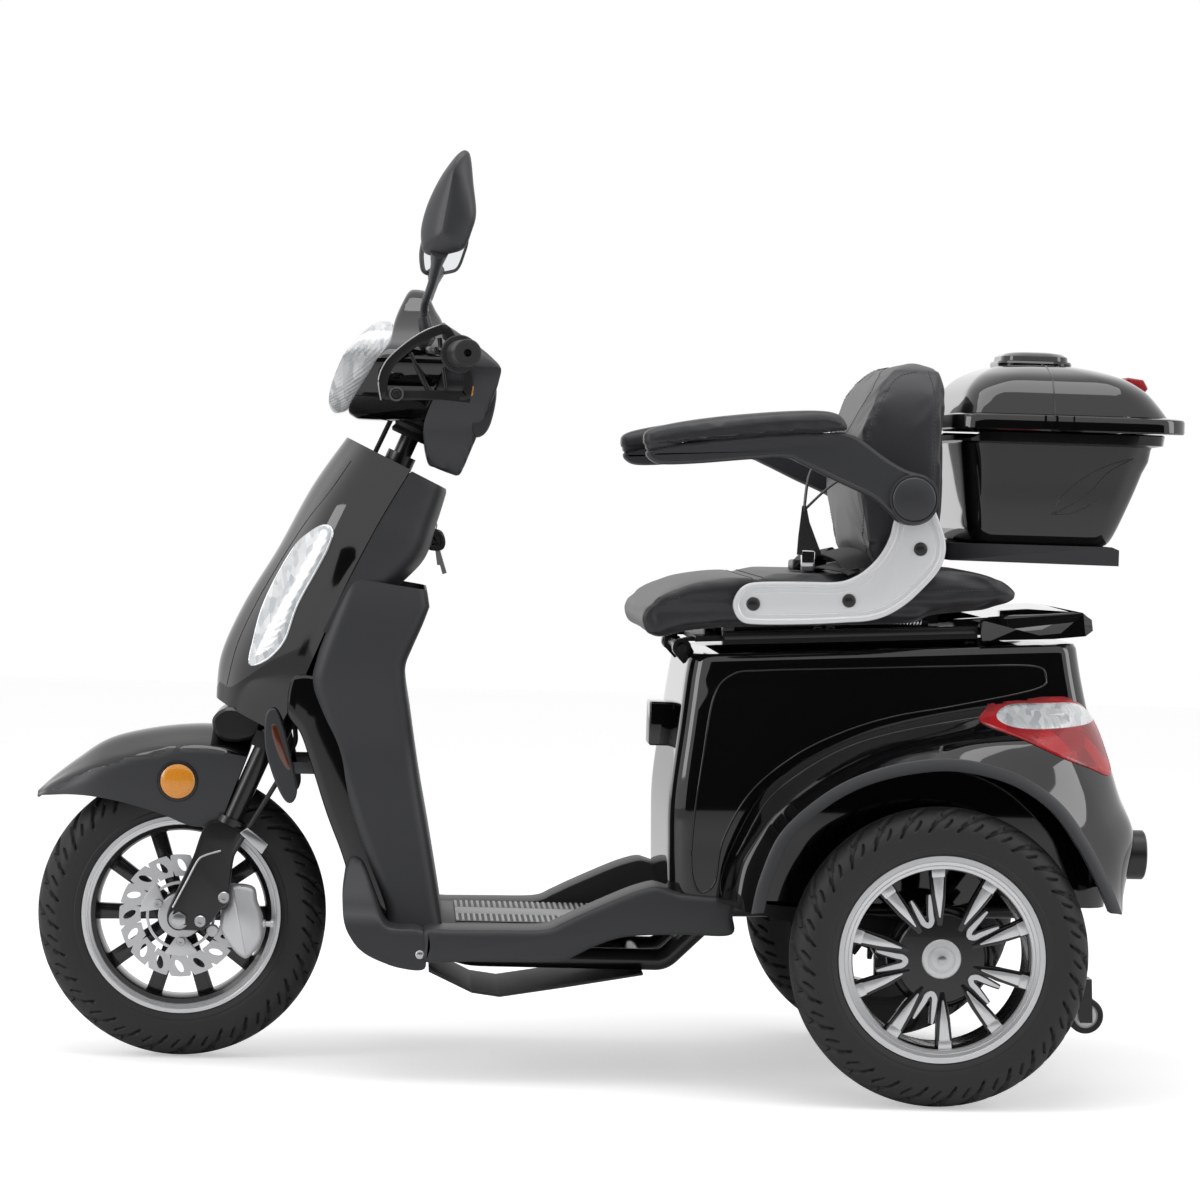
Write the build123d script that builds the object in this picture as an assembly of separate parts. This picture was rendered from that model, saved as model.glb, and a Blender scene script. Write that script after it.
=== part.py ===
from build123d import *
import os
from math import cos, hypot, radians, sin

os.makedirs("parts", exist_ok=True)

# Three-wheel mobility scooter, millimetres. +X is forward, +Y is the rider's left, +Z is up.
# Side outlines are lists of (s, z): s is the distance behind the front axle and z is the height.

# ---------------------------------------------------------------- driving dimensions
FRONT_AXLE_X = 585.5        # front axle ahead of the origin
WHEELBASE = 1035.0
REAR_TRACK = 620.0
TYRE_RADIUS = 204.0
TYRE_HALF_WIDTH = 38.0
TYRE_WALL = 9.0
RIM_RADIUS = 138.0
RIM_WALL = 8.0
RIM_LIP = 3.0
FRONT_SPOKES = 10
REAR_SPOKE_PAIRS = 5
RAKE = 23.0                 # steering axis, degrees from upright
FORK_OFFSET = 13.0          # axle ahead of the steering axis
LEG_OFFSET = 4.0            # fork legs ahead of the steering axis
FORK_HALF_SPACING = 68.0
FORK_TUBE_RADIUS = 14.0
FORK_LEG_RADIUS = 18.0
FORK_LEG_LENGTH = 150.0
CROWN_HEIGHT = 275.0        # yoke, up the steering axis from the front axle
HEAD_LOW = 330.0            # head tube ends, up the steering axis
HEAD_HIGH = 700.0
STEM_TOP = 868.0
STEM_RADIUS = 13.0
HEAD_TUBE_RADIUS = 21.0
FIT = 0.05                  # radial clearance of every turning pin
SEAT_GAP = 0.3              # gap between a soft or moving face and its seat
FRONT_SPINDLE_RADIUS = 7.0
REAR_SPINDLE_RADIUS = 10.0
DISC_RADIUS = 86.0
DISC_THICKNESS = 4.0
DISC_Y = 43.0
DISC_SLOTS = 12
FRAME_TUBE_RADIUS = 15.0
RAIL_HALF_SPACING = 70.0
RAIL_Z = 160.0
PANEL = 3.0                 # wall of the moulded covers
SEAT_HINGE_S = 690.0
SEAT_HINGE_Z = 603.0
SEAT_PIN_RADIUS = 6.0
LUG_Y = 105.0
DECK_FRONT_S = 700.0
DECK_REAR_S = 1190.0
DECK_FRONT_Z = 621.0        # top of the deck at its front edge
DECK_SLOPE = 0.051          # the deck rises towards the rear
DECK_THICKNESS = 8.0
SLIDER_HEIGHT = 14.0
ARM_PIVOT_S = 987.0
ARM_PIVOT_Z = 820.0
ARM_PIN_RADIUS = 8.0
ARM_BOSS_RADIUS = 34.0
BRACKET_Y = 228.0           # inner face of the silver side brackets
BRACKET_THICKNESS = 12.0
ARM_THICKNESS = 34.0
LID_HINGE_S = 1070.0
LID_HINGE_Z = 930.0
LID_PIN_RADIUS = 3.0
LID_EAR_Y = 120.0
LID_SWING = 23.0            # clear space round the hinge for the front edge of the lid
CASTER_S = 1267.0
CASTER_Z = 106.0
CASTER_Y = 150.0
CASTER_RADIUS = 25.0
CASTER_WIDTH = 20.0
CASTER_PIN_RADIUS = 4.0
BAR_RADIUS = 11.0
BAR_END_BORE = 5.0
GRIP_RADIUS = 18.0
GRIP_FLANGE_RADIUS = 23.0
GRIP_END_Y = 330.0
GRIP_LENGTH = 118.0
FLOOR_Z = 213.0
FLOOR_THICKNESS = 8.0
MAT_FRONT_S = 385.0
MAT_REAR_S = 640.0
MAT_HALF_WIDTH = 118.0
MAT_THICKNESS = 3.0


# ---------------------------------------------------------------- helpers
def at(s, z, y=0.0):
    return Vector(FRONT_AXLE_X - s, y, z)


def outline_face(corners, radius=0.0):
    if radius:
        return make_face(FilletPolyline(*corners, radius=radius, close=True))
    return make_face(Polyline(*corners, close=True))


def side_plate(outline, y_from, y_to, radius=0.0):
    face = outline_face([at(s, z, y_from) for s, z in outline], radius)
    return extrude(face, amount=y_to - y_from, dir=(0, 1, 0))


def front_plate(outline, s_from, s_to, radius=0.0):
    face = outline_face([at(s_to, z, y) for y, z in outline], radius)
    return extrude(face, amount=s_to - s_from, dir=(1, 0, 0))


def block(s_from, s_to, y_from, y_to, z_from, z_to):
    middle = at((s_from + s_to) / 2, (z_from + z_to) / 2, (y_from + y_to) / 2)
    return Pos(middle) * Box(s_to - s_from, y_to - y_from, z_to - z_from)


def both(half):
    """Closed front outline from its points on the rider's left, listed from top to bottom."""
    return half + [(-y, z) for y, z in reversed(half)]


def rod(start, end, radius, bore=0.0):
    along = end - start
    place = Plane(origin=start, z_dir=along)
    low = (Align.CENTER, Align.CENTER, Align.MIN)
    body = place * Cylinder(radius, along.length, align=low)
    if bore:
        body -= place * Cylinder(bore, along.length, align=low)
    return body


def cross_rod(s, z, y_from, y_to, radius, bore=0.0):
    return rod(at(s, z, y_from), at(s, z, y_to), radius, bore)


def tube(points, radius, bend=0.0):
    path = FilletPolyline(*points, radius=bend) if len(points) > 2 else Line(*points)
    return sweep(Plane(origin=path @ 0, z_dir=path % 0) * Circle(radius), path=path)


def mirrored(part):
    return mirror(part, about=Plane.XZ)


def pair(part):
    return part + mirrored(part)


def moulding(side, front, wall=0.0, side_radius=0.0, front_radius=0.0):
    """Body bounded by a side outline and a front outline, hollow when a wall is given."""
    reach = 900.0
    side_face = outline_face([at(s, z, -reach) for s, z in side], side_radius)
    front_face = outline_face([at(reach * 2, z, y) for y, z in front], front_radius)
    body = extrude(side_face, amount=reach * 2, dir=(0, 1, 0))
    body &= extrude(front_face, amount=reach * 3, dir=(1, 0, 0))
    if wall:
        core = extrude(offset(side_face, amount=-wall), amount=reach * 2, dir=(0, 1, 0))
        core &= extrude(offset(front_face, amount=-wall), amount=reach * 3, dir=(1, 0, 0))
        body -= core
    return body


def steer(along, ahead=0.0, y=0.0):
    """Point beside the steering axis, measured up along it from the front axle."""
    lean = radians(RAKE)
    s = along * sin(lean) + (FORK_OFFSET - ahead) * cos(lean)
    z = TYRE_RADIUS + along * cos(lean) - (FORK_OFFSET - ahead) * sin(lean)
    return at(s, z, y)


def inset(points, centre, wall):
    """Points moved towards a centre by a wall thickness."""
    moved = []
    for s, z in points:
        reach = hypot(s - centre[0], z - centre[1])
        share = 1 - wall / reach
        moved.append((centre[0] + (s - centre[0]) * share, centre[1] + (z - centre[1]) * share))
    return moved


def write(name, part):
    solids = part.solids()
    shape = solids[0] if len(solids) == 1 else Compound(children=list(solids))
    shape.label = name
    export_step(shape, "parts/" + name + ".step")


# ---------------------------------------------------------------- wheels
def ring_of(profile):
    """Turned ring about a wheel's axis from corners given as (radius, y)."""
    return revolve(make_face(Polyline(*profile, close=True)), axis=Axis.Y)


def turned(radius, y_from, y_to, bore=0.0):
    return rod(Vector(0, y_from, 0), Vector(0, y_to, 0), radius, bore)


def around(part, count, turn=0.0):
    return [Rotation(0, turn + 360.0 * i / count, 0) * part for i in range(count)]


def rim_barrel():
    w = TYRE_HALF_WIDTH - 5.0
    seat = RIM_RADIUS
    lip = 2.6
    return ring_of([
        (seat - RIM_WALL, -w), (seat + RIM_LIP, -w), (seat + RIM_LIP, lip - w), (seat, lip - w),
        (seat, w - lip), (seat + RIM_LIP, w - lip), (seat + RIM_LIP, w), (seat - RIM_WALL, w),
    ])


def tyre():
    r, w, t = TYRE_RADIUS, TYRE_HALF_WIDTH, TYRE_WALL
    bead = w - 8.0
    outer = [(RIM_RADIUS, bead), (r - 48, w - 1), (r - 24, w - 1.5), (r - 9, w - 12), (r, 0)]
    inner = [(RIM_RADIUS, bead - t), (r - 48, w - t), (r - 24, w - t - 2), (r - t, 0)]
    crown = Spline(*outer, *[(a, -b) for a, b in reversed(outer[:-1])])
    cavity = Spline(*inner, *[(a, -b) for a, b in reversed(inner[:-1])])
    left = Line((RIM_RADIUS, bead), (RIM_RADIUS, bead - t))
    right = Line((RIM_RADIUS, -bead), (RIM_RADIUS, t - bead))
    return revolve(make_face([crown, left, right, cavity]), axis=Axis.Y) - rim_barrel()


def wheel_plate(corners, y_from, y_to):
    """Flat piece of a wheel from corners given as (radial, sideways)."""
    face = make_face(Polyline(*[(a, y_from, b) for a, b in corners], close=True))
    return extrude(face, amount=y_to - y_from, dir=(0, 1, 0))


def front_rim():
    reach = RIM_RADIUS - RIM_WALL + 2
    spoke = wheel_plate([(26, -10), (reach, -11), (reach, 11), (26, 10)], -6, 12)
    hub = turned(34, -30, 30) + turned(20, -46, 34)
    rim = rim_barrel() + around(spoke, FRONT_SPOKES, 18) + hub
    return rim - turned(FRONT_SPINDLE_RADIUS + FIT, -100, 100)


def rear_rim():
    reach = RIM_RADIUS - RIM_WALL + 2
    face_y = TYRE_HALF_WIDTH - 12.0
    spoke = wheel_plate([(38, 2), (reach, 6), (reach, 32), (44, 15)], face_y - 12, face_y)
    spokes = around(spoke, REAR_SPOKE_PAIRS, 90) + around(mirror(spoke, about=Plane.XY), REAR_SPOKE_PAIRS,
        90)
    hub = turned(50, face_y - 14, face_y - 2) + turned(36, -28, face_y) + turned(26, face_y, face_y + 8)
    rim = rim_barrel() + spokes + hub
    return rim - turned(REAR_SPINDLE_RADIUS + FIT, -100, face_y + 4)


def brake_disc():
    disc = turned(DISC_RADIUS, DISC_Y, DISC_Y + DISC_THICKNESS, 52)
    slot = Rotation(90, 0, 0) * extrude(Pos(69, 0, 0) * Rotation(0, 0, 35) * SlotOverall(20, 8),
                                        amount=80, both=True)
    for cut in around(slot, DISC_SLOTS):
        disc -= cut
    arm = wheel_plate([(22, -12), (56, -8), (56, 8), (22, 12)], DISC_Y - 2, DISC_Y + DISC_THICKNESS)
    return disc + around(arm, 3, 30) + turned(30, 30, DISC_Y + DISC_THICKNESS, 20)


front_place = Location(at(0, TYRE_RADIUS))
front_rim_body = front_rim()
write("front_tyre", front_place * tyre())
write("front_rim", front_place * front_rim_body)
write("brake_disc", front_place * (brake_disc() - front_rim_body))
for side, sign in (("left", 1), ("right", -1)):
    place = Location(at(WHEELBASE, TYRE_RADIUS, sign * REAR_TRACK / 2))
    rim = rear_rim() if sign > 0 else mirrored(rear_rim())
    write("rear_tyre_" + side, place * tyre())
    write("rear_rim_" + side, place * rim)


# ---------------------------------------------------------------- chassis
BORE_CUT = rod(steer(HEAD_LOW - 30), steer(HEAD_HIGH + 30), STEM_RADIUS + FIT)
head_tube = rod(steer(HEAD_LOW), steer(HEAD_HIGH), HEAD_TUBE_RADIUS)
down_tube = tube(
    [steer(HEAD_LOW + 70, -14), at(222, 470), at(262, 320), at(308, RAIL_Z + 18), at(400, RAIL_Z)],
    FRAME_TUBE_RADIUS + 4, 40,
)
rail = tube(
    [at(372, RAIL_Z, 0), at(410, RAIL_Z, RAIL_HALF_SPACING), at(680, RAIL_Z, RAIL_HALF_SPACING),
     at(760, 238, RAIL_HALF_SPACING), at(1240, 246, RAIL_HALF_SPACING)],
    FRAME_TUBE_RADIUS, 28,
)
riser = tube([at(728, 210, RAIL_HALF_SPACING), at(728, 562, RAIL_HALF_SPACING)], 13)
post = tube([at(1180, 246, RAIL_HALF_SPACING), at(1180, 582, RAIL_HALF_SPACING)], 13)
top_rail = tube([at(716, 560, RAIL_HALF_SPACING), at(1195, 580, RAIL_HALF_SPACING)], 12)
damper_post = tube([at(1122, 445, RAIL_HALF_SPACING), at(1122, 576, RAIL_HALF_SPACING)], 9)
spine = head_tube + down_tube - BORE_CUT
write("front_spine", spine)
frame = pair(rail) + pair(riser) + pair(post) + pair(top_rail) + pair(damper_post)
frame += [
    cross_rod(s, z, -RAIL_HALF_SPACING, RAIL_HALF_SPACING, 11)
    for s, z in ((460, RAIL_Z), (640, RAIL_Z), (790, 240), (1225, 246), (1180, 500), (728, 500))
]
frame += cross_rod(1122, 445, -138, 138, 9)
frame += block(742, 972, -RAIL_HALF_SPACING, RAIL_HALF_SPACING, 252, 256)
pin_half = LUG_Y + 30
lug = side_plate(
    [(679, 611), (701, 611), (722, 575), (722, 552), (704, 552), (700, 574), (679, 596)], LUG_Y - 25,
    LUG_Y - 17,
)
lug += block(704, 722, RAIL_HALF_SPACING, LUG_Y - 17, 552, 568)
frame += pair(lug)
frame += cross_rod(SEAT_HINGE_S, SEAT_HINGE_Z, -pin_half, pin_half, SEAT_PIN_RADIUS)
stay = tube(
    [at(1225, 246, RAIL_HALF_SPACING), at(1232, 236, CASTER_Y - 20), at(1250, 150, CASTER_Y)], 9, 14,
)
cheek = [(CASTER_S - 20, 158), (CASTER_S + 6, 158), (CASTER_S + 9, CASTER_Z - 9),
         (CASTER_S - 9, CASTER_Z - 9)]
cheek_in = CASTER_WIDTH / 2 + 1.5
stay += side_plate(cheek, CASTER_Y + cheek_in, CASTER_Y + cheek_in + 3)
stay += side_plate(cheek, CASTER_Y - cheek_in - 3, CASTER_Y - cheek_in)
stay += block(CASTER_S - 20, CASTER_S + 6, CASTER_Y - cheek_in - 3, CASTER_Y + cheek_in + 3, 142, 158)
stay += cross_rod(CASTER_S, CASTER_Z, CASTER_Y - cheek_in - 3, CASTER_Y + cheek_in + 3, CASTER_PIN_RADIUS)
frame += pair(stay)
frame -= spine
write("chassis_frame", frame)

half_track = REAR_TRACK / 2
axle = cross_rod(WHEELBASE, TYRE_RADIUS, -half_track + 42, half_track - 42, 22)
axle += cross_rod(WHEELBASE, TYRE_RADIUS, -half_track - 26, half_track + 26, REAR_SPINDLE_RADIUS)
axle += cross_rod(WHEELBASE, TYRE_RADIUS, -58, 58, 46)
axle += cross_rod(WHEELBASE - 4, TYRE_RADIUS, 16, 44, 58)
for y in (-RAIL_HALF_SPACING - 20, RAIL_HALF_SPACING + 20):
    axle += side_plate([(800, 232), (806, 246), (WHEELBASE, 226), (WHEELBASE, 182)], y - 4, y + 4)
axle += cross_rod(806, 238, -RAIL_HALF_SPACING - 24, -RAIL_HALF_SPACING, 7)
axle += cross_rod(806, 238, RAIL_HALF_SPACING, RAIL_HALF_SPACING + 24, 7)
axle -= frame
write("rear_axle", axle)

damper = rod(at(WHEELBASE + 9, 218, 138), at(1118, 436, 138), 8)
damper += rod(at(WHEELBASE + 25, 265, 138), at(1110, 412, 138), 13)
coil_start = at(WHEELBASE + 22, 256, 138)
coil_end = at(1113, 421, 138)
for share in (0.0, 0.15, 0.3, 0.45, 0.6, 0.75, 0.9):
    low = coil_start + (coil_end - coil_start) * share
    high = coil_start + (coil_end - coil_start) * (share + 0.07)
    damper += rod(low, high, 25)
damper += cross_rod(1122, 445, 126, 150, 15)
damper += cross_rod(WHEELBASE + 7, 212, 126, 150, 15)
write("rear_dampers", pair(damper) - axle - frame)
write("battery_pack", block(750, 965, -52, 52, 256, 500))

# ---------------------------------------------------------------- front shield and leg shield
SHIELD_LEAN = 25.6
lean_cos = cos(radians(SHIELD_LEAN))
lean_sin = sin(radians(SHIELD_LEAN))
shield_plane = Plane(origin=at(38, 520), x_dir=(-lean_cos, 0, -lean_sin), z_dir=(-lean_sin, 0, lean_cos))
# height up the leaning shield, nose, seam, half width at the seam
SHIELD_SECTIONS = (
    (-8, 6, 104, 74), (50, -16, 105, 104), (130, -20, 101, 122),
    (220, -13, 96, 130), (320, -10, 97, 124), (404, 2, 103, 102),
)
# height up the leaning shield, seam, rear face, half width at the seam
COLUMN_SECTIONS = ((236, 97, 160, 129), (300, 97.5, 178, 126), (404, 104, 163, 102))
SHIELD_WALL = 4.0


def lean_section(height, curve_points, wall_points):
    ends = [Line(curve_points[0], wall_points[0]), Line(curve_points[-1], wall_points[-1])]
    face = make_face([Spline(*curve_points), Spline(*wall_points)] + ends)
    return shield_plane * Pos(0, 0, height) * face


def nose_curve(nose, seam, half, wall):
    deep = seam - nose
    left = [(seam, half - wall), (nose + 0.40 * deep, 0.78 * half - wall),
            (nose + 0.10 * deep + wall, 0.34 * half)]
    return left + [(nose + wall, 0)] + [(u, -y) for u, y in reversed(left)]


def column_curve(seam, rear, half, wall):
    deep = rear - seam
    left = [(seam, half - wall), (seam + 0.70 * deep, 0.92 * half - wall),
            (rear - 0.06 * deep - wall, 0.62 * half)]
    return left + [(rear - wall, 0)] + [(u, -y) for u, y in reversed(left)]


front_shield = loft([
    lean_section(h, nose_curve(n, u, w, 0), nose_curve(n, u, w, SHIELD_WALL)) for h, n, u,
    w in SHIELD_SECTIONS
])
lamp_skin = loft([
    lean_section(h, nose_curve(n, u, w, 0), nose_curve(n, u, w, SHIELD_WALL + 5)) for h, n, u,
    w in SHIELD_SECTIONS
])
SIDE_LAMP = [(98, 577), (108, 640), (132, 700), (158, 745), (196, 776), (214, 774), (200, 735),
             (164, 664), (150, 614), (122, 590)]
lamp_prism = side_plate(SIDE_LAMP, 20, 200, 4)
side_lamp = lamp_skin & lamp_prism
front_shield -= pair(lamp_prism)
write("shield_lamps", pair(side_lamp))

column = loft([
    lean_section(h, column_curve(u, r, w, 0), column_curve(u, r, w, SHIELD_WALL)) for h, u, r,
    w in COLUMN_SECTIONS
])


def closed_section(height, nose, seam, rear, half):
    front = nose_curve(nose, seam, half, SHIELD_WALL / 2)
    back = column_curve(seam, rear, half, SHIELD_WALL / 2)
    face = make_face([Spline(*front), Spline(*back)])
    return shield_plane * Pos(0, 0, height) * face


cap = extrude(closed_section(396, 1, 102.5, 165, 104.5), amount=-3, dir=(-lean_sin, 0, lean_cos))
cap -= rod(steer(HEAD_HIGH - 60), steer(STEM_TOP), 46)
write("front_shield", front_shield)

LEG_SIDE = [
    (232, 700), (300, 680), (332, 684), (340, 668), (336, 640), (306, 572), (340, 330), (368, FLOOR_Z),
    (292, FLOOR_Z), (206, 451), (180, 520), (168, 530), (193, 615),
]
LEG_FRONT = both([(129, 720), (137, 640), (138, 560), (124, 440), (140, 330), (158, FLOOR_Z)])
leg_shield = moulding(LEG_SIDE, LEG_FRONT, wall=PANEL)
tray_cut = moulding(
    [(238, 720), (300, 720), (327, 720), (331, 668), (331, 642), (300, 592), (250, 600), (226, 640)],
    both([(122, 730), (122, 610), (110, 590)]),
)
tray_wall = moulding(
    [(234, 697), (300, 680), (333, 683), (337, 640), (300, 586), (248, 596), (222, 640)],
    both([(126, 730), (126, 608), (112, 586)]),
)
leg_shield += tray_wall & moulding(LEG_SIDE, LEG_FRONT)
leg_shield -= tray_cut
leg_shield -= rod(steer(HEAD_LOW - 60), steer(HEAD_HIGH), 46)
leg_shield -= side_plate([(120, 540), (285, 540), (322, 330), (340, 190), (120, 190)], -62, 62)
leg_shield -= front_shield
leg_shield += column + (cap - front_shield)
leg_shield -= down_tube
lock = shield_plane * Pos(172, 30, 322) * Rotation(0, 90, 0) * Cylinder(15, 26)
leg_shield += lock
APRON_SIDE = [
    (226, 300), (229, 236), (238, 202), (262, 178), (316, 158), (344, 158), (344, FLOOR_Z),
    (288, FLOOR_Z), (250, 315),
]
APRON_FRONT = both([(122, 330), (170, 240), (205, 212), (212, 150)])
apron = moulding(APRON_SIDE, APRON_FRONT, wall=PANEL)
apron -= front_plate(both([(62, 400), (62, 176)]), 190, 420)
apron -= block(285, 420, -92, 92, 140, 190)
leg_shield += apron
write("leg_shield", leg_shield)

# ---------------------------------------------------------------- rear body
# height, front face, rear face, half width, corner radius
BODY_SECTIONS = ((262, 676, 1284, 204, 34), (400, 674, 1292, 204, 34), (500, 685, 1262, 198, 34),
                 (560, 692, 1246, 186, 34))
BODY_TOP = (596, 697, 1236, 178, 34)
BODY_TOP_SLOPE = 0.057


def body_section(height, front, rear, half, corner, slope, wall):
    middle = at((front + rear) / 2, height)
    plane = Plane(origin=middle, x_dir=(1, 0, -slope), z_dir=(slope, 0, 1))
    return plane * RectangleRounded(rear - front - 2 * wall, 2 * (half - wall), corner - wall)


def body_loft(wall):
    sections = [body_section(*row, 0.0, wall) for row in BODY_SECTIONS]
    return loft(sections + [body_section(*BODY_TOP, BODY_TOP_SLOPE, wall)])


BODY_WALL = 5.0
body_outer = body_loft(0.0)
body_skin = body_loft(2.5)
body_core = body_loft(BODY_WALL)
rear_body = body_outer - body_core
RECESS = [
    (770, 572), (1180, 592), (1190, 560), (1063, 536), (981, 518), (913, 496), (842, 460), (780, 412),
    (746, 340), (738, 285),
    (712, 285), (710, 340), (722, 454), (740, 545),
]
recess_prism = side_plate(RECESS, 100, 300, 8)
rear_body -= pair(recess_prism) & (body_outer - body_skin)
compartment = block(742, 1160, -140, 140, 540, 660)
rim_top = body_section(*BODY_TOP, BODY_TOP_SLOPE, 0.5)
roof = extrude(rim_top, amount=-PANEL - 1, dir=(0, 0, 1)) - compartment
rear_body += roof
rear_body -= block(700, 1275, -186, 186, 240, 268)
for y in (-LUG_Y, LUG_Y):
    rear_body -= block(672, 726, y - 42, y + 42, 572, 640)
latch = block(652, 690, -28, 40, 460, 522)
latch -= body_outer
rear_body += latch
rear_body += pair(block(1164, 1196, RAIL_HALF_SPACING - 10, RAIL_HALF_SPACING + 10, 586, 606))
rear_body -= frame
write("rear_body", rear_body)

FENDER_CENTRE = (WHEELBASE, 300.0)
FENDER_RIDGE = [
    (738, 262), (752, 330), (790, 406), (842, 452), (913, 489), (981, 512), (1063, 531), (1150, 548),
    (1236, 556), (1272, 500), (1294, 432), (1312, 372), (1302, 262),
]
FENDER_SHOULDER = [
    (752, 262), (764, 330), (800, 400), (850, 443), (913, 477), (981, 499), (1063, 514), (1150, 519),
    (1222, 512), (1262, 462), (1284, 410), (1304, 362), (1296, 262),
]
FENDER_LIP = [
    (793, 262), (803, 306), (828, 363), (878, 409), (930, 437), (990, 453), (1051, 457), (1119, 442),
    (1174, 409), (1212, 362), (1240, 318), (1262, 285), (1272, 262),
]
FENDER_PLANES = (190.0, 268.0, 345.0)
ARCH_RADIUS = 229.0


def fender_loft(wall, outermost):
    faces = []
    for outline, y in zip((FENDER_RIDGE, FENDER_SHOULDER, FENDER_LIP), FENDER_PLANES):
        points = inset(outline, FENDER_CENTRE, wall) if wall else outline
        curve = Spline(*[at(s, z, min(y, outermost)) for s, z in points])
        faces.append(make_face([curve, Line(curve @ 1, curve @ 0)]))
    return loft(faces)


fender_outer = fender_loft(0.0, 400.0)
fender_core = fender_loft(5.0, 336.0)
TAIL_LAMP = [(1086, 521), (1119, 549), (1236, 570), (1300, 560), (1300, 436), (1280, 441), (1196, 475),
             (1127, 505)]
lamp_block = side_plate(TAIL_LAMP, 205, 400)
fender = fender_outer - fender_core - body_outer
fender -= cross_rod(WHEELBASE, TYRE_RADIUS, 215, 400, ARCH_RADIUS)
fender -= block(700, 1340, 150, 260, 200, 266)
tail_lamp = (fender_outer - fender_loft(14.0, 400.0) - body_outer) & lamp_block
fender -= lamp_block
cap_rod = rod(at(1285, 338, 205), at(1330, 338, 205), 34) - rod(at(1326, 338, 205), at(1335, 338, 205),
    27)
cap_rod -= fender_outer
cap_rod -= body_outer
for side, sign in (("left", 1), ("right", -1)):
    shell = fender + cap_rod
    write("rear_fender_" + side, shell if sign > 0 else mirrored(shell))
    write("tail_lamp_" + side, tail_lamp if sign > 0 else mirrored(tail_lamp))

# ---------------------------------------------------------------- floor
WING_TOP = [(505, FLOOR_Z + 2), (554, 238), (615, 266), (656, 279), (690, 270), (764, 264)]
WING_SIDE = [(340, FLOOR_Z), (340, 167), (528, 171), (569, 190), (617, 208), (692, 213),
             (764, 214)] + list(reversed(WING_TOP))
wing = side_plate(WING_SIDE, 130, 215)
wing_core = [
    (344, FLOOR_Z - 6), (344, 150), (528, 165), (569, 184), (617, 202), (700, 207), (758, 208),
    (758, 256),
    (690, 262), (656, 271), (615, 258), (554, 230), (505, FLOOR_Z - 6),
]
wing -= side_plate(wing_core, 134, 211)
deck_board = block(340, 676, -131, 131, FLOOR_Z - FLOOR_THICKNESS, FLOOR_Z)
ribs = [block(s, s + 4, -125, 125, FLOOR_Z - 16, FLOOR_Z - FLOOR_THICKNESS) for s in range(400, 660, 40)]
footboard = deck_board + pair(wing) + ribs
footboard += block(MAT_FRONT_S, MAT_REAR_S, -MAT_HALF_WIDTH, MAT_HALF_WIDTH, FLOOR_Z - 1,
                   FLOOR_Z + MAT_THICKNESS)
footboard -= body_outer
footboard -= fender_outer
footboard -= mirrored(fender_outer)
footboard -= leg_shield
write("footboard", footboard)
BELLY = [(350, 140), (411, 112), (450, 107), (539, 122), (650, 142), (650, 145), (539, 126), (450, 111),
         (411, 116), (350, 145)]
write("belly_pan", side_plate(BELLY, -105, 105))

# ---------------------------------------------------------------- steering
legs = []
for y in (-FORK_HALF_SPACING, FORK_HALF_SPACING):
    leg = rod(steer(-8, LEG_OFFSET, y), steer(FORK_LEG_LENGTH, LEG_OFFSET, y), FORK_LEG_RADIUS)
    leg += rod(steer(FORK_LEG_LENGTH - 2, LEG_OFFSET, y), steer(FORK_LEG_LENGTH + 8, LEG_OFFSET, y),
               FORK_LEG_RADIUS + 3)
    leg += rod(steer(140, LEG_OFFSET, y), steer(CROWN_HEIGHT + 14, LEG_OFFSET, y), FORK_TUBE_RADIUS)
    leg += cross_rod(0, TYRE_RADIUS, y - 13, y + 13, 17)
    legs.append(leg)
spindle = cross_rod(0, TYRE_RADIUS, -FORK_HALF_SPACING - 22, FORK_HALF_SPACING + 22, FRONT_SPINDLE_RADIUS)
steer_up = steer(1) - steer(0)
crown = Plane(origin=steer(CROWN_HEIGHT, 2), x_dir=(1, 0, 0), z_dir=steer_up) * Box(
    44, 2 * FORK_HALF_SPACING + 38, 22
)
stem = rod(steer(CROWN_HEIGHT), steer(STEM_TOP), STEM_RADIUS)
stem += rod(steer(CROWN_HEIGHT), steer(HEAD_LOW - 1), HEAD_TUBE_RADIUS)
stem += rod(steer(HEAD_HIGH + 1), steer(HEAD_HIGH + 20), HEAD_TUBE_RADIUS)
fork = crown + stem + legs + spindle
write("front_fork", fork)

# station, half width, lower edge, shoulder, crown
MUDGUARD_SECTIONS = (
    (-205, 16, 366, 368, 371), (-184, 40, 369, 379, 391), (-150, 58, 372, 396, 418),
    (-110, 69, 371, 413, 445),
    (-60, 74, 364, 428, 460), (0, 76, 350, 440, 469), (50, 76, 334, 440, 469), (96, 74, 320, 430, 456),
)


def mudguard_section(s, half, low, shoulder, crown_z, wall):
    left = [(half - wall, low), (half - wall, (low + shoulder) / 2),
            (half - 3 - wall, shoulder - wall / 2),
            (0.45 * half, shoulder + 0.72 * (crown_z - shoulder) - wall)]
    points = left + [(0, crown_z - wall)] + [(-y, z) for y, z in reversed(left)]
    return [at(s, z, y) for y, z in points]


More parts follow.
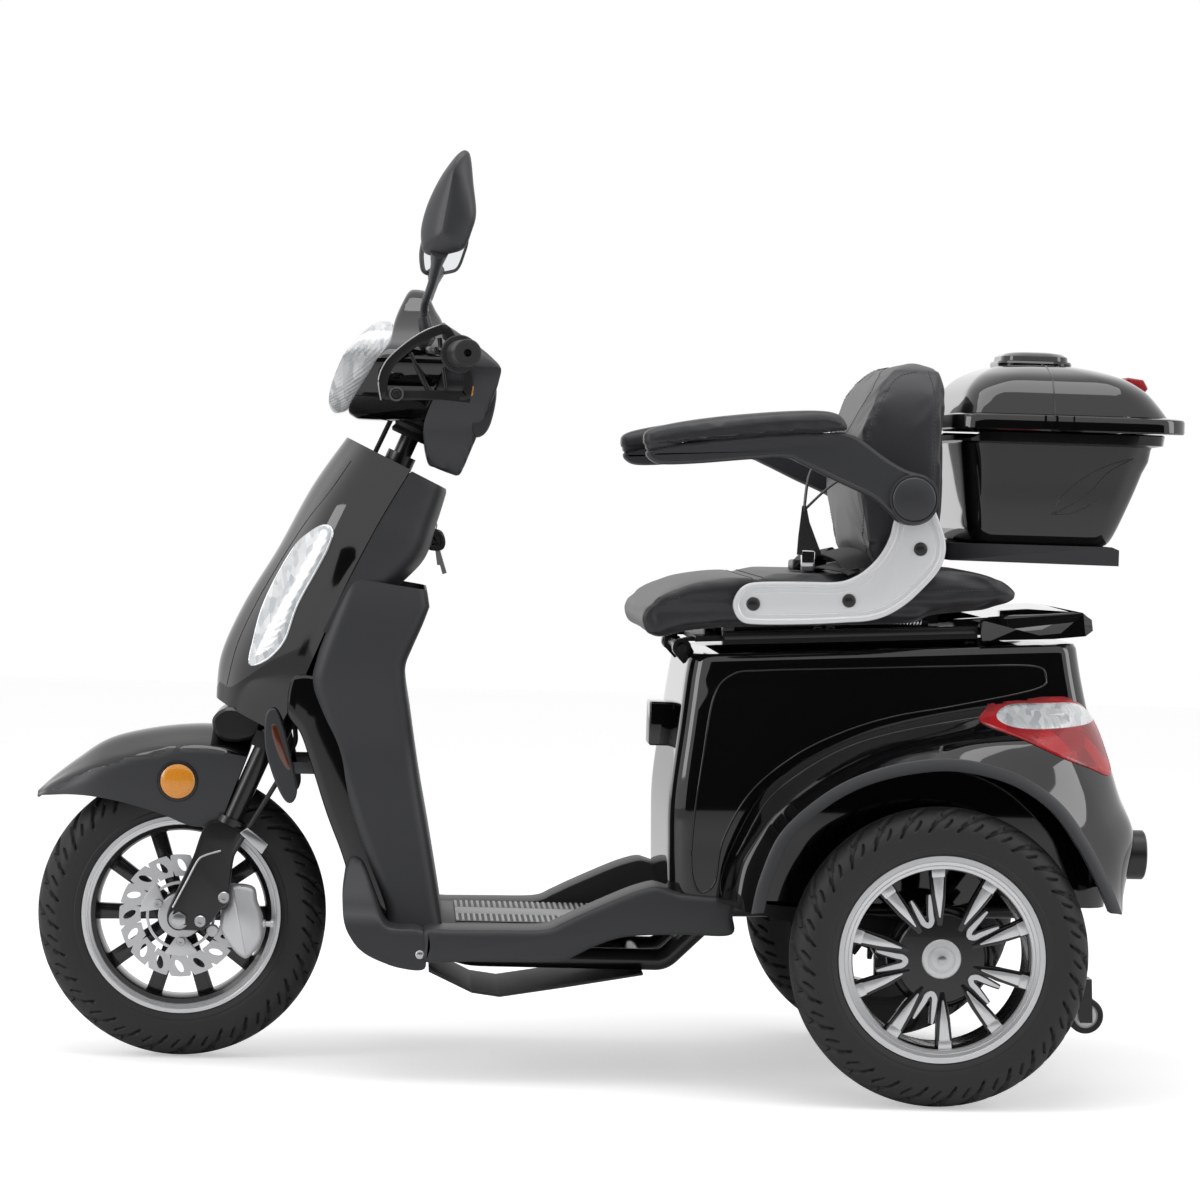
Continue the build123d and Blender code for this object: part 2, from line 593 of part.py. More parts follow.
faces = []
for row in MUDGUARD_SECTIONS:
    outer_points = mudguard_section(*row, 0.0)
    inner_points = mudguard_section(*row, PANEL)
    sides = [Line(outer_points[0], inner_points[0]), Line(outer_points[-1], inner_points[-1])]
    faces.append(make_face([Spline(*outer_points), Spline(*inner_points)] + sides))
mudguard = loft(faces)
mudguard -= side_plate([(50, 338), (94, 440), (140, 440), (140, 250), (20, 250), (20, 345)], -200, 200)
for y in (-FORK_HALF_SPACING, FORK_HALF_SPACING):
    mudguard -= rod(steer(60, LEG_OFFSET, y), steer(CROWN_HEIGHT + 30, LEG_OFFSET, y),
                    FORK_LEG_RADIUS + 3)
mudguard += pair(cross_rod(-7, 396, 72, 81, 27))
mudguard -= side_plate([(-100, 300), (60, 300), (60, 425), (-100, 425)], -71, 71)
bracket_plate = side_plate([(40, 440), (92, 440), (100, 452), (96, 462), (40, 462)], -50, 50)
mudguard += bracket_plate
mudguard -= fork
write("front_fender", mudguard)

caliper = side_plate([(30, 262), (62, 270), (84, 236), (76, 190), (52, 168), (34, 178), (46, 214)], 30,
                     62, 6)
caliper -= front_place * turned(DISC_RADIUS + 2, DISC_Y - 2.5, DISC_Y + DISC_THICKNESS + 2.5)
caliper -= front_place * turned(60, 0, 80)
caliper += side_plate([(38, 262), (62, 270), (60, 240), (38, 236)], 52, 70)
caliper -= fork
caliper -= block(10, 37, 50, 80, 160, 280)
write("brake_caliper", caliper)

hose_points = [
    at(56, 262, 64), at(74, 300, 86), steer(232, -32, 82), steer(292, -32, 60), steer(346, -2, 44),
    steer(410, 33, 12), steer(560, 34, 6), steer(700, 36, 4), steer(800, 34, 2),
]
hose = tube(hose_points, 3.5, 24)
write("brake_hose", hose - caliper - fork)

bar_end = at(376, 997, GRIP_END_Y - 6)
bar_bend = at(362, 1000, 150)
bar_half = [bar_end, bar_bend, at(350, 1004, 60)]
bar = tube(bar_half + [Vector(p.X, -p.Y, p.Z) for p in reversed(bar_half)], BAR_RADIUS, 60)
clamp = rod(steer(STEM_TOP - 40), steer(STEM_TOP + 6), 22) + block(330, 366, -28, 28, 986, 1018)
bar += clamp
bar -= rod(steer(STEM_TOP - 60), steer(STEM_TOP), STEM_RADIUS)
outward = (bar_end - bar_bend).normalized()
grip_start = bar_end - outward * (GRIP_LENGTH - 6)
lever_pivot = grip_start - outward * 24
lever = tube([lever_pivot + Vector(10, 0, 2), lever_pivot + Vector(40, 26, 4),
              bar_end + Vector(42, -8, 2)], 5, 12)
lever += rod(lever_pivot - outward * 12, lever_pivot + outward * 12, 17)
bar += pair(lever)
grip = rod(grip_start, bar_end + outward * 6, GRIP_RADIUS) + rod(grip_start, grip_start + outward * 8,
    GRIP_FLANGE_RADIUS)
grip -= rod(grip_start - outward * 5, bar_end, BAR_RADIUS)
grip -= rod(bar_end - outward * 5, bar_end + outward * 10, BAR_END_BORE)
write("grip_left", grip)
write("grip_right", mirrored(grip))

COWL_SIDE = [
    (300, 1094), (322, 1091), (343, 1047), (352, 1010), (350, 985), (322, 908), (228, 908), (216, 922),
    (276, 1030), (276, 1050),
]
COWL_FRONT = both([(20, 1100), (56, 1060), (118, 1022), (158, 1000), (160, 978), (120, 930), (76, 900)])
cowl_solid = moulding(COWL_SIDE, COWL_FRONT, 0.0, 0.0, 8.0)
head_cowl = moulding(COWL_SIDE, COWL_FRONT, PANEL, 0.0, 8.0)
LAMP_SIDE = [(251, 1046), (274, 1050), (276, 1030), (216, 922), (196, 916), (188, 928), (199, 975),
             (222, 1014)]
LAMP_FRONT = both([(40, 1056), (86, 1036), (104, 1000), (92, 950), (52, 912)])
headlamp = moulding(LAMP_SIDE, LAMP_FRONT, 0.0, 4.0, 10.0)
bar_slot = pair(rod(at(349, 1004, 20), at(368, 999, 260), 24))
stem_slot = rod(steer(HEAD_HIGH - 40), steer(STEM_TOP + 12), 30) + block(324, 372, -34, 34, 978, 1021)
hose_slot = rod(steer(640, 36, 5), steer(806, 34, 2), 9)
head_cowl -= stem_slot
head_cowl -= bar_slot
head_cowl -= hose_slot
head_cowl -= headlamp
cowl_stay = block(256, 332, -8, 8, 1000, 1008) - head_cowl - headlamp
write("handlebar", bar + cowl_stay)
write("head_cowl", head_cowl)
write("headlamp", headlamp)
DASH_SIDE = [
    (343.5, 1047), (382, 1022), (410, 1003), (426, 984), (420, 950), (390, 872), (373, 832), (330, 848),
    (322.5, 908),
    (350.5, 985), (352.5, 1010),
]
DASH_FRONT = both([(70, 1056), (124, 1016), (140, 980), (118, 930), (76, 880), (60, 820)])
dash = moulding(DASH_SIDE, DASH_FRONT, PANEL, 0.0, 8.0)
dash -= stem_slot
dash -= bar_slot
write("rear_cowl", dash)

MIRROR_OUTLINE = [(-34, 0), (-40, 30), (-22, 112), (4, 142), (26, 112), (36, 56), (30, 14), (8, -2)]
mirror_plane = Plane(origin=at(342, 1128, 272), x_dir=(-0.62, 0.78, 0.12), z_dir=(0.78, 0.62, 0.05))
mirror_face = make_face(FilletPolyline(*MIRROR_OUTLINE, radius=9, close=True))
shell = extrude(mirror_plane * mirror_face, amount=20)
back_face = mirror_plane * Pos(0, 8, 20) * make_face(Polyline(*[(x * 0.5, 14 + y * 0.75) for x,
    y in MIRROR_OUTLINE], close=True))
shell += extrude(back_face, amount=12)
stem_rod = tube([at(322, 1036, 116), at(316, 1070, 118), at(330, 1100, 190), at(344, 1146, 266)], 6, 20)
stem_rod += rod(at(324, 1020, 114), at(321, 1042, 116), 9)
mirror_left = shell + stem_rod
write("mirror_left", mirror_left - cowl_solid)
write("mirror_right", mirrored(mirror_left - cowl_solid))


# ---------------------------------------------------------------- seat deck
def deck_z(s):
    return DECK_FRONT_Z + DECK_SLOPE * (s - DECK_FRONT_S)


def deck_layer(s_from, s_to, low, high, y_from, y_to):
    """Plate parallel to the deck, its faces measured up from the deck's top."""
    outline = [(s_from, deck_z(s_from) + low), (s_from, deck_z(s_from) + high),
               (s_to, deck_z(s_to) + high), (s_to, deck_z(s_to) + low)]
    return side_plate(outline, y_from, y_to)


deck = deck_layer(DECK_FRONT_S + 6, DECK_REAR_S, -DECK_THICKNESS, 0, -150, 150)
deck += pair(deck_layer(742, 1096, -DECK_THICKNESS - 4, 6, 149, 168))
deck -= block(770, 1010, -90, 90, 560, 700)
for y in (-LUG_Y, LUG_Y):
    deck += side_plate(
        [(SEAT_HINGE_S - 10, 612), (SEAT_HINGE_S + 24, 613), (SEAT_HINGE_S + 24, 620),
         (SEAT_HINGE_S + 4, 617)], y - 12, y + 12,
    )
    deck += cross_rod(SEAT_HINGE_S, SEAT_HINGE_Z, y - 12, y + 12, 13)
deck -= cross_rod(SEAT_HINGE_S, SEAT_HINGE_Z, -200, 200, SEAT_PIN_RADIUS + FIT)
write("seat_deck", deck)
TAIL_SIDE = [
    (1106, 658), (1150, 664), (1222, 670), (1242, 669), (1253, 660), (1255, 645), (1246, 637),
    (1220, 634), (DECK_REAR_S, 632),
    (DECK_REAR_S, deck_z(DECK_REAR_S)), (1106, deck_z(1106)),
]
tail = side_plate(TAIL_SIDE, -168, 168)
tail += pair(side_plate([(1064, deck_z(1064)), (1064, 655), (1110, 659), (1110, deck_z(1110))], 150, 168))
tail += pair(side_plate([(1100, 627), (1100, 655), (1240, 668), (1252, 660), (1254, 645), (1244, 637),
                         (1200, 632)], 168, 184))
tail -= deck
write("deck_tail", tail)

# ---------------------------------------------------------------- seat
slider = deck_layer(752, 1030, SEAT_GAP, SLIDER_HEIGHT, 96, 146)
slider = pair(slider) + deck_layer(760, 1012, 4, SLIDER_HEIGHT, -97, 97)
slider -= block(800, 980, -70, 70, 560, 720)
write("seat_slider", slider)
seat_bottom = SLIDER_HEIGHT + SEAT_GAP
CUSHION = [
    (615, 655), (622, 671), (644, 688), (692, 702), (760, 709), (884, 710), (1029, 725), (1091, 725),
    (1126, 716), (1142, 704),
    (1146, 686), (1135, 676), (1076, 669), (1020, 662), (1010, deck_z(1010) + seat_bottom),
    (740, deck_z(740) + seat_bottom), (694, 633),
    (650, 620), (632, 624),
]
cushion = side_plate(CUSHION, -215, 215, 3)
cushion -= block(1040 - SEAT_GAP, 1058 + SEAT_GAP, -50 - SEAT_GAP, 50 + SEAT_GAP, 600, 760)
write("seat_cushion", cushion)
BACK = [
    (909, 913), (937, 976), (964, 1006), (1000, 1017), (1034, 1008), (1041, 975), (1038, 917),
    (1036, 820), (1034, 728),
    (940, 720), (922, 760), (906, 830),
]
BACK_FRONT = both([(120, 1018), (170, 1000), (196, 950), (205, 860), (205, 760), (190, 700)])
backrest = moulding(BACK, BACK_FRONT, 0.0, 6.0, 30.0)
write("backrest", backrest)
BRACKET = [
    (748, 664), (752, 682), (770, 698), (785, 701), (890, 704), (930, 723), (958, 758), (964, 800),
    (987, 842), (1018, 806),
    (1038, 765), (1036, 735), (1026, 719), (973, 667), (950, 656), (919, 650), (783, 643), (756, 650),
]
bracket = side_plate(BRACKET, BRACKET_Y, BRACKET_Y + BRACKET_THICKNESS - 4, 5)
bracket += side_plate(
    [(758, 666), (762, 682), (775, 690), (892, 693), (938, 713), (970, 755), (1012, 790), (1028, 760),
     (1018, 726),
     (968, 677), (946, 667), (915, 661), (785, 654), (764, 658)],
    BRACKET_Y, BRACKET_Y + BRACKET_THICKNESS, 5,
)
bracket_out = BRACKET_Y + BRACKET_THICKNESS
bracket += cross_rod(ARM_PIVOT_S, ARM_PIVOT_Z, BRACKET_Y, bracket_out, 24)
bracket += cross_rod(ARM_PIVOT_S, ARM_PIVOT_Z, BRACKET_Y, bracket_out + ARM_THICKNESS - 4, ARM_PIN_RADIUS)
bracket += cross_rod(776, 671, 215 + SEAT_GAP, bracket_out + 2, 9)
bracket += cross_rod(907, 679, 215 + SEAT_GAP, bracket_out + 2, 9)
bracket += cross_rod(1003, 752, 205 + SEAT_GAP, bracket_out + 2, 9)
write("side_bracket_left", bracket)
write("side_bracket_right", mirrored(bracket))

ARM = [
    (700, 868), (700, 879), (810, 892), (896, 892), (974, 857), (1006, 846), (1014, 808), (987, 786),
    (950, 806), (880, 842),
    (830, 862), (810, 869),
]
arm_in = bracket_out + SEAT_GAP
arm_out = arm_in + ARM_THICKNESS
arm = side_plate(ARM, arm_in, arm_out - 4, 4)
arm += cross_rod(ARM_PIVOT_S, ARM_PIVOT_Z, arm_in, arm_out, ARM_BOSS_RADIUS)
arm -= cross_rod(ARM_PIVOT_S, ARM_PIVOT_Z, 200, arm_out - 4 + FIT, ARM_PIN_RADIUS + FIT)
write("armrest_left", arm)
write("armrest_right", mirrored(arm))
PAD = [
    (615, 896), (626, 907), (693, 921), (815, 935), (876, 936), (891, 925), (896, 908),
    (885, 892 + SEAT_GAP),
    (810, 892 + SEAT_GAP), (699, 879 + SEAT_GAP), (699, 866), (648, 858), (634, 861), (620, 876),
]
arm_pad = side_plate(PAD, arm_in - 10, arm_out + 10)
write("armrest_pad_left", arm_pad)
write("armrest_pad_right", mirrored(arm_pad))

# ---------------------------------------------------------------- top box
carrier = side_plate([(1052, 761), (1052, 737), (1288, 735), (1288, 757), (1278, 761)], -178, 178)
carrier -= block(1060, 1280, -166, 166, 720, 755)
carrier += [block(1060, 1280, y - 10, y + 10, 740, 756) for y in (-80, 0, 80)]
carrier += side_plate([(1040, deck_z(1040) + 5), (1040, 768), (1058, 768), (1058, deck_z(1058) + 5)], -50,
                      50)
carrier += deck_layer(1008, 1058, 5, SLIDER_HEIGHT, -50, 50)
carrier -= slider
write("box_carrier", carrier)


def box_section(z, s_front, s_rear, half, corner, wall=0.0):
    return Pos(at((s_front + s_rear) / 2, z)) * RectangleRounded(s_rear - s_front - 2 * wall,
        2 * (half - wall), corner - wall)


TUB_SECTIONS = ((761, 1092, 1276, 150, 22), (780, 1082, 1290, 160, 28), (850, 1073, 1318, 172, 34),
                (916, 1066, 1340, 182, 38))
tub = loft([box_section(*row) for row in TUB_SECTIONS])
tub -= loft([box_section(z + (PANEL if i == 0 else 0), *rest, PANEL) for i,
             (z, *rest) in enumerate(TUB_SECTIONS)])
tub -= block(1000, 1400, -145, 145, 916, 930)
RIM = ((903, 1056, 1350, 192, 44), (920, 1052, 1356, 195, 46))
tub += extrude(box_section(*RIM[0]), amount=15) - extrude(box_section(903, 1068, 1338, 180.5, 37),
    amount=20)
tub -= cross_rod(LID_HINGE_S, LID_HINGE_Z, -200, 200, LID_SWING)
hinge_ear = side_plate([(1058, 910), (1078, 910), (LID_HINGE_S + 5, 934), (LID_HINGE_S - 5, 934)],
                       LID_EAR_Y - 4, LID_EAR_Y + 4)
hinge_pin = cross_rod(LID_HINGE_S, LID_HINGE_Z, LID_EAR_Y - 16, LID_EAR_Y + 16, LID_PIN_RADIUS)
write("top_box", tub + pair(hinge_ear + hinge_pin))
LID_SECTIONS = (
    (919, 1052, 1378, 200, 46), (940, 1052, 1377, 200, 46), (938, 1066, 1352, 186, 44),
    (978, 1078, 1326, 172, 46),
    (1001, 1100, 1284, 142, 46), (1014, 1136, 1244, 92, 40),
)
lid = loft([box_section(*row) for row in LID_SECTIONS[:2]], ruled=True)
lid -= extrude(box_section(918, 1052, 1378, 200, 46, PANEL + 1), amount=19)
lid += loft([box_section(*row) for row in LID_SECTIONS[2:]])
lid += extrude(box_section(1006, 1134, 1238, 62, 30), amount=27)
lid -= loft([box_section(z - PANEL, *rest, PANEL) for z, *rest in LID_SECTIONS[2:]])
barrel = cross_rod(LID_HINGE_S, LID_HINGE_Z, LID_EAR_Y + 6, LID_EAR_Y + 15, 7)
barrel += cross_rod(LID_HINGE_S, LID_HINGE_Z, LID_EAR_Y - 15, LID_EAR_Y - 6, 7)
barrel += side_plate([(1056, 926), (1056, 940), (LID_HINGE_S + 6, 940), (LID_HINGE_S + 6, 932)],
                     LID_EAR_Y + 6, LID_EAR_Y + 15)
barrel += side_plate([(1056, 926), (1056, 940), (LID_HINGE_S + 6, 940), (LID_HINGE_S + 6, 932)],
                     LID_EAR_Y - 15, LID_EAR_Y - 6)
lid += pair(barrel)
lid -= cross_rod(LID_HINGE_S, LID_HINGE_Z, -300, 300, LID_PIN_RADIUS + FIT)
lid -= pair(block(1050, 1090, LID_EAR_Y - 5, LID_EAR_Y + 5, 900, 936.5))
write("box_lid", lid)

# ---------------------------------------------------------------- anti-tip wheels
for side, sign in (("left", 1), ("right", -1)):
    y = sign * CASTER_Y
    half = CASTER_WIDTH / 2
    wheel = cross_rod(CASTER_S, CASTER_Z, y - half, y + half, CASTER_RADIUS, CASTER_PIN_RADIUS + FIT)
    write("anti_tip_wheel_" + side, wheel)
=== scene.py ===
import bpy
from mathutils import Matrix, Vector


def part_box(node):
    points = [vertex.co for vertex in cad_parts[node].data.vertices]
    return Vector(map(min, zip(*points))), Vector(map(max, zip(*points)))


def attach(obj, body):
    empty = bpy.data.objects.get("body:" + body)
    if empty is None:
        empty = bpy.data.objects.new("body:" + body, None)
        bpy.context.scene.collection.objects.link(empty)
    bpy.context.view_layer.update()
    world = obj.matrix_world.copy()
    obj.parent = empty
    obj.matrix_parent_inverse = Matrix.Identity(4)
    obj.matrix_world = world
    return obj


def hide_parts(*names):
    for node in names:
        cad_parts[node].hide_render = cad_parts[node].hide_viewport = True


bl_info = {
    "name": "Three-wheel scooter dressing",
    "version": (1, 0, 0),
    "blender": (4, 5, 0),
    "location": "3D View > Sidebar > Scooter",
    "description": "Dresses the solids of a three-wheel mobility scooter with finished surfaces",
    "category": "Object",
}

from math import atan2, cos, degrees, exp, hypot, log1p, pi, radians, sin, sqrt

import bmesh
import bpy
from bpy.props import FloatProperty, IntProperty, PointerProperty, StringProperty
from bpy.types import Operator, Panel, PropertyGroup
from mathutils import Matrix, Vector
from mathutils.bvhtree import BVHTree

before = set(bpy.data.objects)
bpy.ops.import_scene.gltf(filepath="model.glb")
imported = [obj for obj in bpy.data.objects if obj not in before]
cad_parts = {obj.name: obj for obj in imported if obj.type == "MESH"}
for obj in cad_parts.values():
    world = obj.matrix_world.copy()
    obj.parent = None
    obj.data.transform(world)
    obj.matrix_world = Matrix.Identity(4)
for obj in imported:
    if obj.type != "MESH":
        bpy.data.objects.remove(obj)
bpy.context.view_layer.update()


def centre_of(node):
    low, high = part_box(node)
    return (low + high) / 2


FRONT_AXLE = centre_of("front_tyre")
MM = 0.001
HALF_IN_MM = 500                # half of a length in metres, in millimetres
TYRE_RADIUS = (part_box("front_tyre")[1].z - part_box("front_tyre")[0].z) * HALF_IN_MM
TYRE_HALF_WIDTH = (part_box("front_tyre")[1].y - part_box("front_tyre")[0].y) * HALF_IN_MM
TYRE_WALL = 66.0                # from the tread to the bead
STEERING_AXIS = Vector((-0.390731, 0, 0.920505))
SIDES = ((1, "left"), (-1, "right"))


# ---------------------------------------------------------------- sizes and colours
class ScooterSizes(PropertyGroup):
    """Sizes that a user would change"""

    tread_pitches: IntProperty(name="Tread pitches",
        description="Times the groove pattern repeats round a tyre", default=28, min=12, max=48)
    tread_depth: FloatProperty(name="Tread depth", description="Depth of the grooves",
        default=0.0042, min=0.001, max=0.008, unit="LENGTH")
    stitch_pitch: FloatProperty(name="Stitch pitch", description="From one stitch to the next",
        default=0.0055, min=0.003, max=0.02, unit="LENGTH")
    stitch_radius: FloatProperty(name="Thread radius",
        description="Half the thickness of the sewing thread", default=0.0007, min=0.0002, max=0.002,
        unit="LENGTH")
    pad_pressure: FloatProperty(
        name="Foam pressure", description="How hard the foam fills its cover", default=3.2, min=0.0, max=10.0)
    mat_rib_pitch: FloatProperty(name="Mat rib pitch",
        description="From one rib of the foot mat to the next", default=0.008, min=0.004, max=0.03,
        unit="LENGTH")
    coil_turns: IntProperty(
        name="Damper coil turns", description="Turns of each rear spring", default=8, min=3, max=14)


class ScooterColours(PropertyGroup):
    """Colours of the main finishes, as sRGB hex values"""

    bodywork: StringProperty(name="Bodywork", description="Glossy moulded panels",
        default="#0B0B0C")
    moulding: StringProperty(name="Moulding", description="Grained leg shield and floor",
        default="#2E2F31")
    leather: StringProperty(name="Leather", description="Seat, back and arm pads",
        default="#26272A")
    bracket: StringProperty(name="Bracket", description="Painted seat brackets", default="#E4E5E7")
    reflector: StringProperty(name="Side reflector", description="Round reflector on the mudguard",
        default="#D98A1E")
    tail: StringProperty(name="Tail lamp", description="Red part of the tail lamps",
        default="#C4121E")


def sizes():
    return bpy.context.scene.scooter_sizes


def colours():
    return bpy.context.scene.scooter_colours


# ---------------------------------------------------------------- building meshes
def at(s, y, z):
    """Point from millimetres behind the front axle, to the rider's left and above the ground."""
    return Vector((FRONT_AXLE.x - s * MM, y * MM, z * MM))


def side(points, y):
    return [at(s, y, z) for s, z in points]


def smooth_line(points, count, closed=False):
    """Evenly spaced points on a smooth curve through the given ones."""
    n = len(points)
    spans = n if closed else n - 1
    dense = []
    for i in range(spans):
        p = [points[(i + k - 1) % n] if closed else points[min(max(i + k - 1, 0), n - 1)] for k in range(4)]
        for j in range(24):
            t = j / 24
            dense.append(0.5 * ((2 * p[1]) + (p[2] - p[0]) * t + (
                2 * p[0] - 5 * p[1] + 4 * p[2] - p[3]) * t * t + (
                3 * p[1] - p[0] - 3 * p[2] + p[3]) * t ** 3))
    dense.append(points[0] if closed else points[-1])
    lengths = [0.0]
    for a, b in zip(dense, dense[1:]):
        lengths.append(lengths[-1] + (b - a).length)
    out, k = [], 0
    steps = count if closed else count - 1
    for i in range(count):
        target = lengths[-1] * i / steps
        while k < len(lengths) - 2 and lengths[k + 1] < target:
            k += 1
        span = lengths[k + 1] - lengths[k]
        share = (target - lengths[k]) / span if span else 0.0
        out.append(dense[k].lerp(dense[k + 1], share))
    return out


def sided(sign, profile):
    """Profile of (any measure, y) given for the rider's left, for the side of the sign."""
    return [(a, y * sign) for a, y in profile]


def linked(name, data):
    """New object in the scene, round its data."""
    made = bpy.data.objects.new(name, data)
    bpy.context.scene.collection.objects.link(made)
    return made


def mesh_object(name, points, faces):
    mesh = bpy.data.meshes.new(name)
    mesh.from_pydata([tuple(p) for p in points], [], faces)
    return linked(name, mesh)


def tidy(obj, merge=1e-6, outwards=True):
    """Merges doubles if a distance is given, then points every face outwards."""
    bm = bmesh.new()
    bm.from_mesh(obj.data)
    if merge:
        bmesh.ops.remove_doubles(bm, verts=bm.verts, dist=merge)
    if outwards:
        bmesh.ops.recalc_face_normals(bm, faces=bm.faces)
    bm.to_mesh(obj.data)
    bm.free()
    return obj


def skin(name, rings, around=True, caps=True):
    """Surface through rings of equally many points."""
    count = len(rings[0])
    points = [p for ring in rings for p in ring]
    faces = []
    for i in range(len(rings) - 1):
        for j in range(count if around else count - 1):
            k = (j + 1) % count
            faces.append((i * count + j, i * count + k, (i + 1) * count + k, (i + 1) * count + j))
    if caps and around:
        faces.append(tuple(range(count)))
        faces.append(tuple((len(rings) - 1) * count + j for j in range(count)))
    return tidy(mesh_object(name, points, faces))


def plate(name, outline, y_from, y_to, bevel=0.0, segments=3):
    """Flat piece from a side outline."""
    made = skin(name, [side(outline, y_from), side(outline, y_to)])
    return rounded(made, bevel, segments) if bevel else made


def slab(name, low, high, places, bevel=0.0, segments=2):
    """Bar between two (y, z) corners, through places behind the front axle."""
    (y0, z0), (y1, z1) = low, high
    made = skin(name, [[at(s, y, z) for y, z in ((y0, z0), (y1, z0), (y1, z1), (y0, z1))] for s in places])
    return rounded(made, bevel, segments) if bevel else made


def rounded(obj, width, segments=3, angle=30.0):
    """Bevels the sharp edges and keeps the result as the mesh."""
    modifier = obj.modifiers.new("Edge", "BEVEL")
    modifier.width = width * MM
    modifier.segments = segments
    modifier.limit_method = "ANGLE"
    modifier.angle_limit = radians(angle)
    modifier.harden_normals = False
    return baked(obj)


def divided(obj, levels):
    modifier = obj.modifiers.new("Smooth", "SUBSURF")
    modifier.levels = levels
    modifier.render_levels = levels
    return baked(obj)


def baked(obj):
    """Turns the evaluated result into the object's plain mesh."""
    graph = bpy.context.evaluated_depsgraph_get()
    graph.update()
    mesh = bpy.data.meshes.new_from_object(obj.evaluated_get(graph), preserve_all_data_layers=True,
        depsgraph=graph)
    obj.modifiers.clear()
    if obj.type == "MESH":
        old = obj.data
        obj.data = mesh
        bpy.data.meshes.remove(old)
        return obj
    made = linked(obj.name, mesh)
    bpy.data.objects.remove(obj)
    return made


def turned(name, profile, centre, steps=96, axis="Y"):
    """Ring turned about an axis through a centre, from corners given as (radius, along) in millimetres."""
    rings = []
    for i in range(steps):
        a = 2 * pi * i / steps
        c, s = cos(a), sin(a)
        spots = {"X": [(y, r * s, r * c) for r, y in profile], "Y": [(r * s, y, r * c) for r, y in profile],
                 "Z": [(r * s, r * c, y) for r, y in profile]}[axis]
        rings.append([centre + Vector(spot) * MM for spot in spots])
    count = len(profile)
    points = [p for ring in rings for p in ring]
    faces = []
    for i in range(steps):
        j = (i + 1) % steps
        for k in range(count):
            m = (k + 1) % count
            faces.append((i * count + k, j * count + k, j * count + m, i * count + m))
    return tidy(mesh_object(name, points, faces), 1e-5)


def sweep(name, path, shape, closed=False, normal=None):
    """Section swept along a path. The shape is a list of (across, up) in millimetres, or a radius."""
    if not isinstance(shape, list):
        shape = [(shape * cos(2 * pi * k / 12), shape * sin(2 * pi * k / 12)) for k in range(12)]
    n = len(path)
    rings = []
    up = normal or Vector((0, 0, 1))
    for i, p in enumerate(path):
        ahead = path[(i + 1) % n] if closed else path[min(i + 1, n - 1)]
        behind = path[i - 1] if (closed or i) else path[0]
        along = (ahead - behind).normalized()
        hint = up[i] if isinstance(up, list) else up
        across = along.cross(hint)
        if across.length < 1e-4:
            across = along.cross(Vector((1, 0, 0)))
        across.normalize()
        lift = across.cross(along).normalized()
        rings.append([p + (across * a + lift * b) * MM for a, b in shape])
    if closed:
        rings.append(rings[0])
    return skin(name, rings, caps=not closed)


def joined(name, pieces):
    """Several meshes as one object. Each keeps its own materials."""
    target = bpy.data.meshes.new(name)
    bm = bmesh.new()
    slots = []
    for piece in pieces:
        start = len(bm.faces)
        bm.from_mesh(piece.data)
        bm.faces.ensure_lookup_table()
        own = [m for m in piece.data.materials]
        for m in own:
            if m not in slots:
                slots.append(m)
        for f in bm.faces[start:]:
            if own:
                f.material_index = slots.index(own[min(f.material_index, len(own) - 1)])
    bm.to_mesh(target)
    bm.free()
    for m in slots:
        target.materials.append(m)
    for piece in pieces:
        bpy.data.objects.remove(piece)
    return linked(name, target)


def solid_copy(node, name):
    """A merged copy of a solid's mesh, ready to be shaded or reshaped."""
    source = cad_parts[node]
    mesh = source.data.copy()
    mesh.transform(source.matrix_world)
    mesh.materials.clear()
    return tidy(linked(name, mesh), 2e-5, outwards=False)


def coated(obj, *makers):
    """Gives a piece its finishes in place of what it has."""
    obj.data.materials.clear()
    for maker in makers:
        obj.data.materials.append(paint(maker))
    return obj


def dressed(obj, maker, body, angle=35.0, replaces=()):
    """Gives a piece its finish, shading and body. With no maker it keeps the finishes it has."""
    mesh = obj.data
    if maker:
        coated(obj, maker)
    mesh.polygons.foreach_set("use_smooth", [True] * len(mesh.polygons))
    mesh.set_sharp_from_angle(angle=radians(angle))
    mesh.update()
    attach(obj, body)
    if replaces:
        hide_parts(*replaces)
    return obj


def surface_of(*objects):
    """Search tree over the meshes of some objects, to lay seams and trim on them."""
    bm = bmesh.new()
    for obj in objects:
        bm.from_mesh(obj.data)
    tree = BVHTree.FromBMesh(bm)
    bm.free()
    return tree


def laid(tree, points, direction, lift=0.0):
    """Points dropped on a surface along a direction. One that misses is left out."""
    found = []
    aim = Vector(direction).normalized()
    for p in points:
        hit, normal, _, _ = tree.ray_cast(p - aim * 1.5, aim, 3.0)
        if hit is not None:
            found.append(hit + (normal if normal.dot(aim) < 0 else -normal) * lift * MM)
    return found


# ---------------------------------------------------------------- node trees
def add(tree, kind, values=None, links=None, **settings):
    """Adds one node with its settings, values and links, each from a socket or a node's first output."""
    made = tree.nodes.new(kind)
    for key, value in settings.items():
        setattr(made, key, value)
    for key, value in (values or {}).items():
        made.inputs[key].default_value = value
    for key, source in (links or {}).items():
        tree.links.new(getattr(source, "outputs", [source])[0], made.inputs[key])
    return made


def new_tree(name, inputs):
    """Empty geometry tree with named inputs after its geometry, and the sockets that give them."""
    tree = bpy.data.node_groups.new(name, "GeometryNodeTree")
    tree.interface.new_socket("Geometry", in_out="INPUT", socket_type="NodeSocketGeometry")
    for label, kind in inputs:
        tree.interface.new_socket(label, in_out="INPUT", socket_type="NodeSocket" + kind)
    tree.interface.new_socket("Geometry", in_out="OUTPUT", socket_type="NodeSocketGeometry")
    return tree, tree.nodes.new("NodeGroupInput").outputs


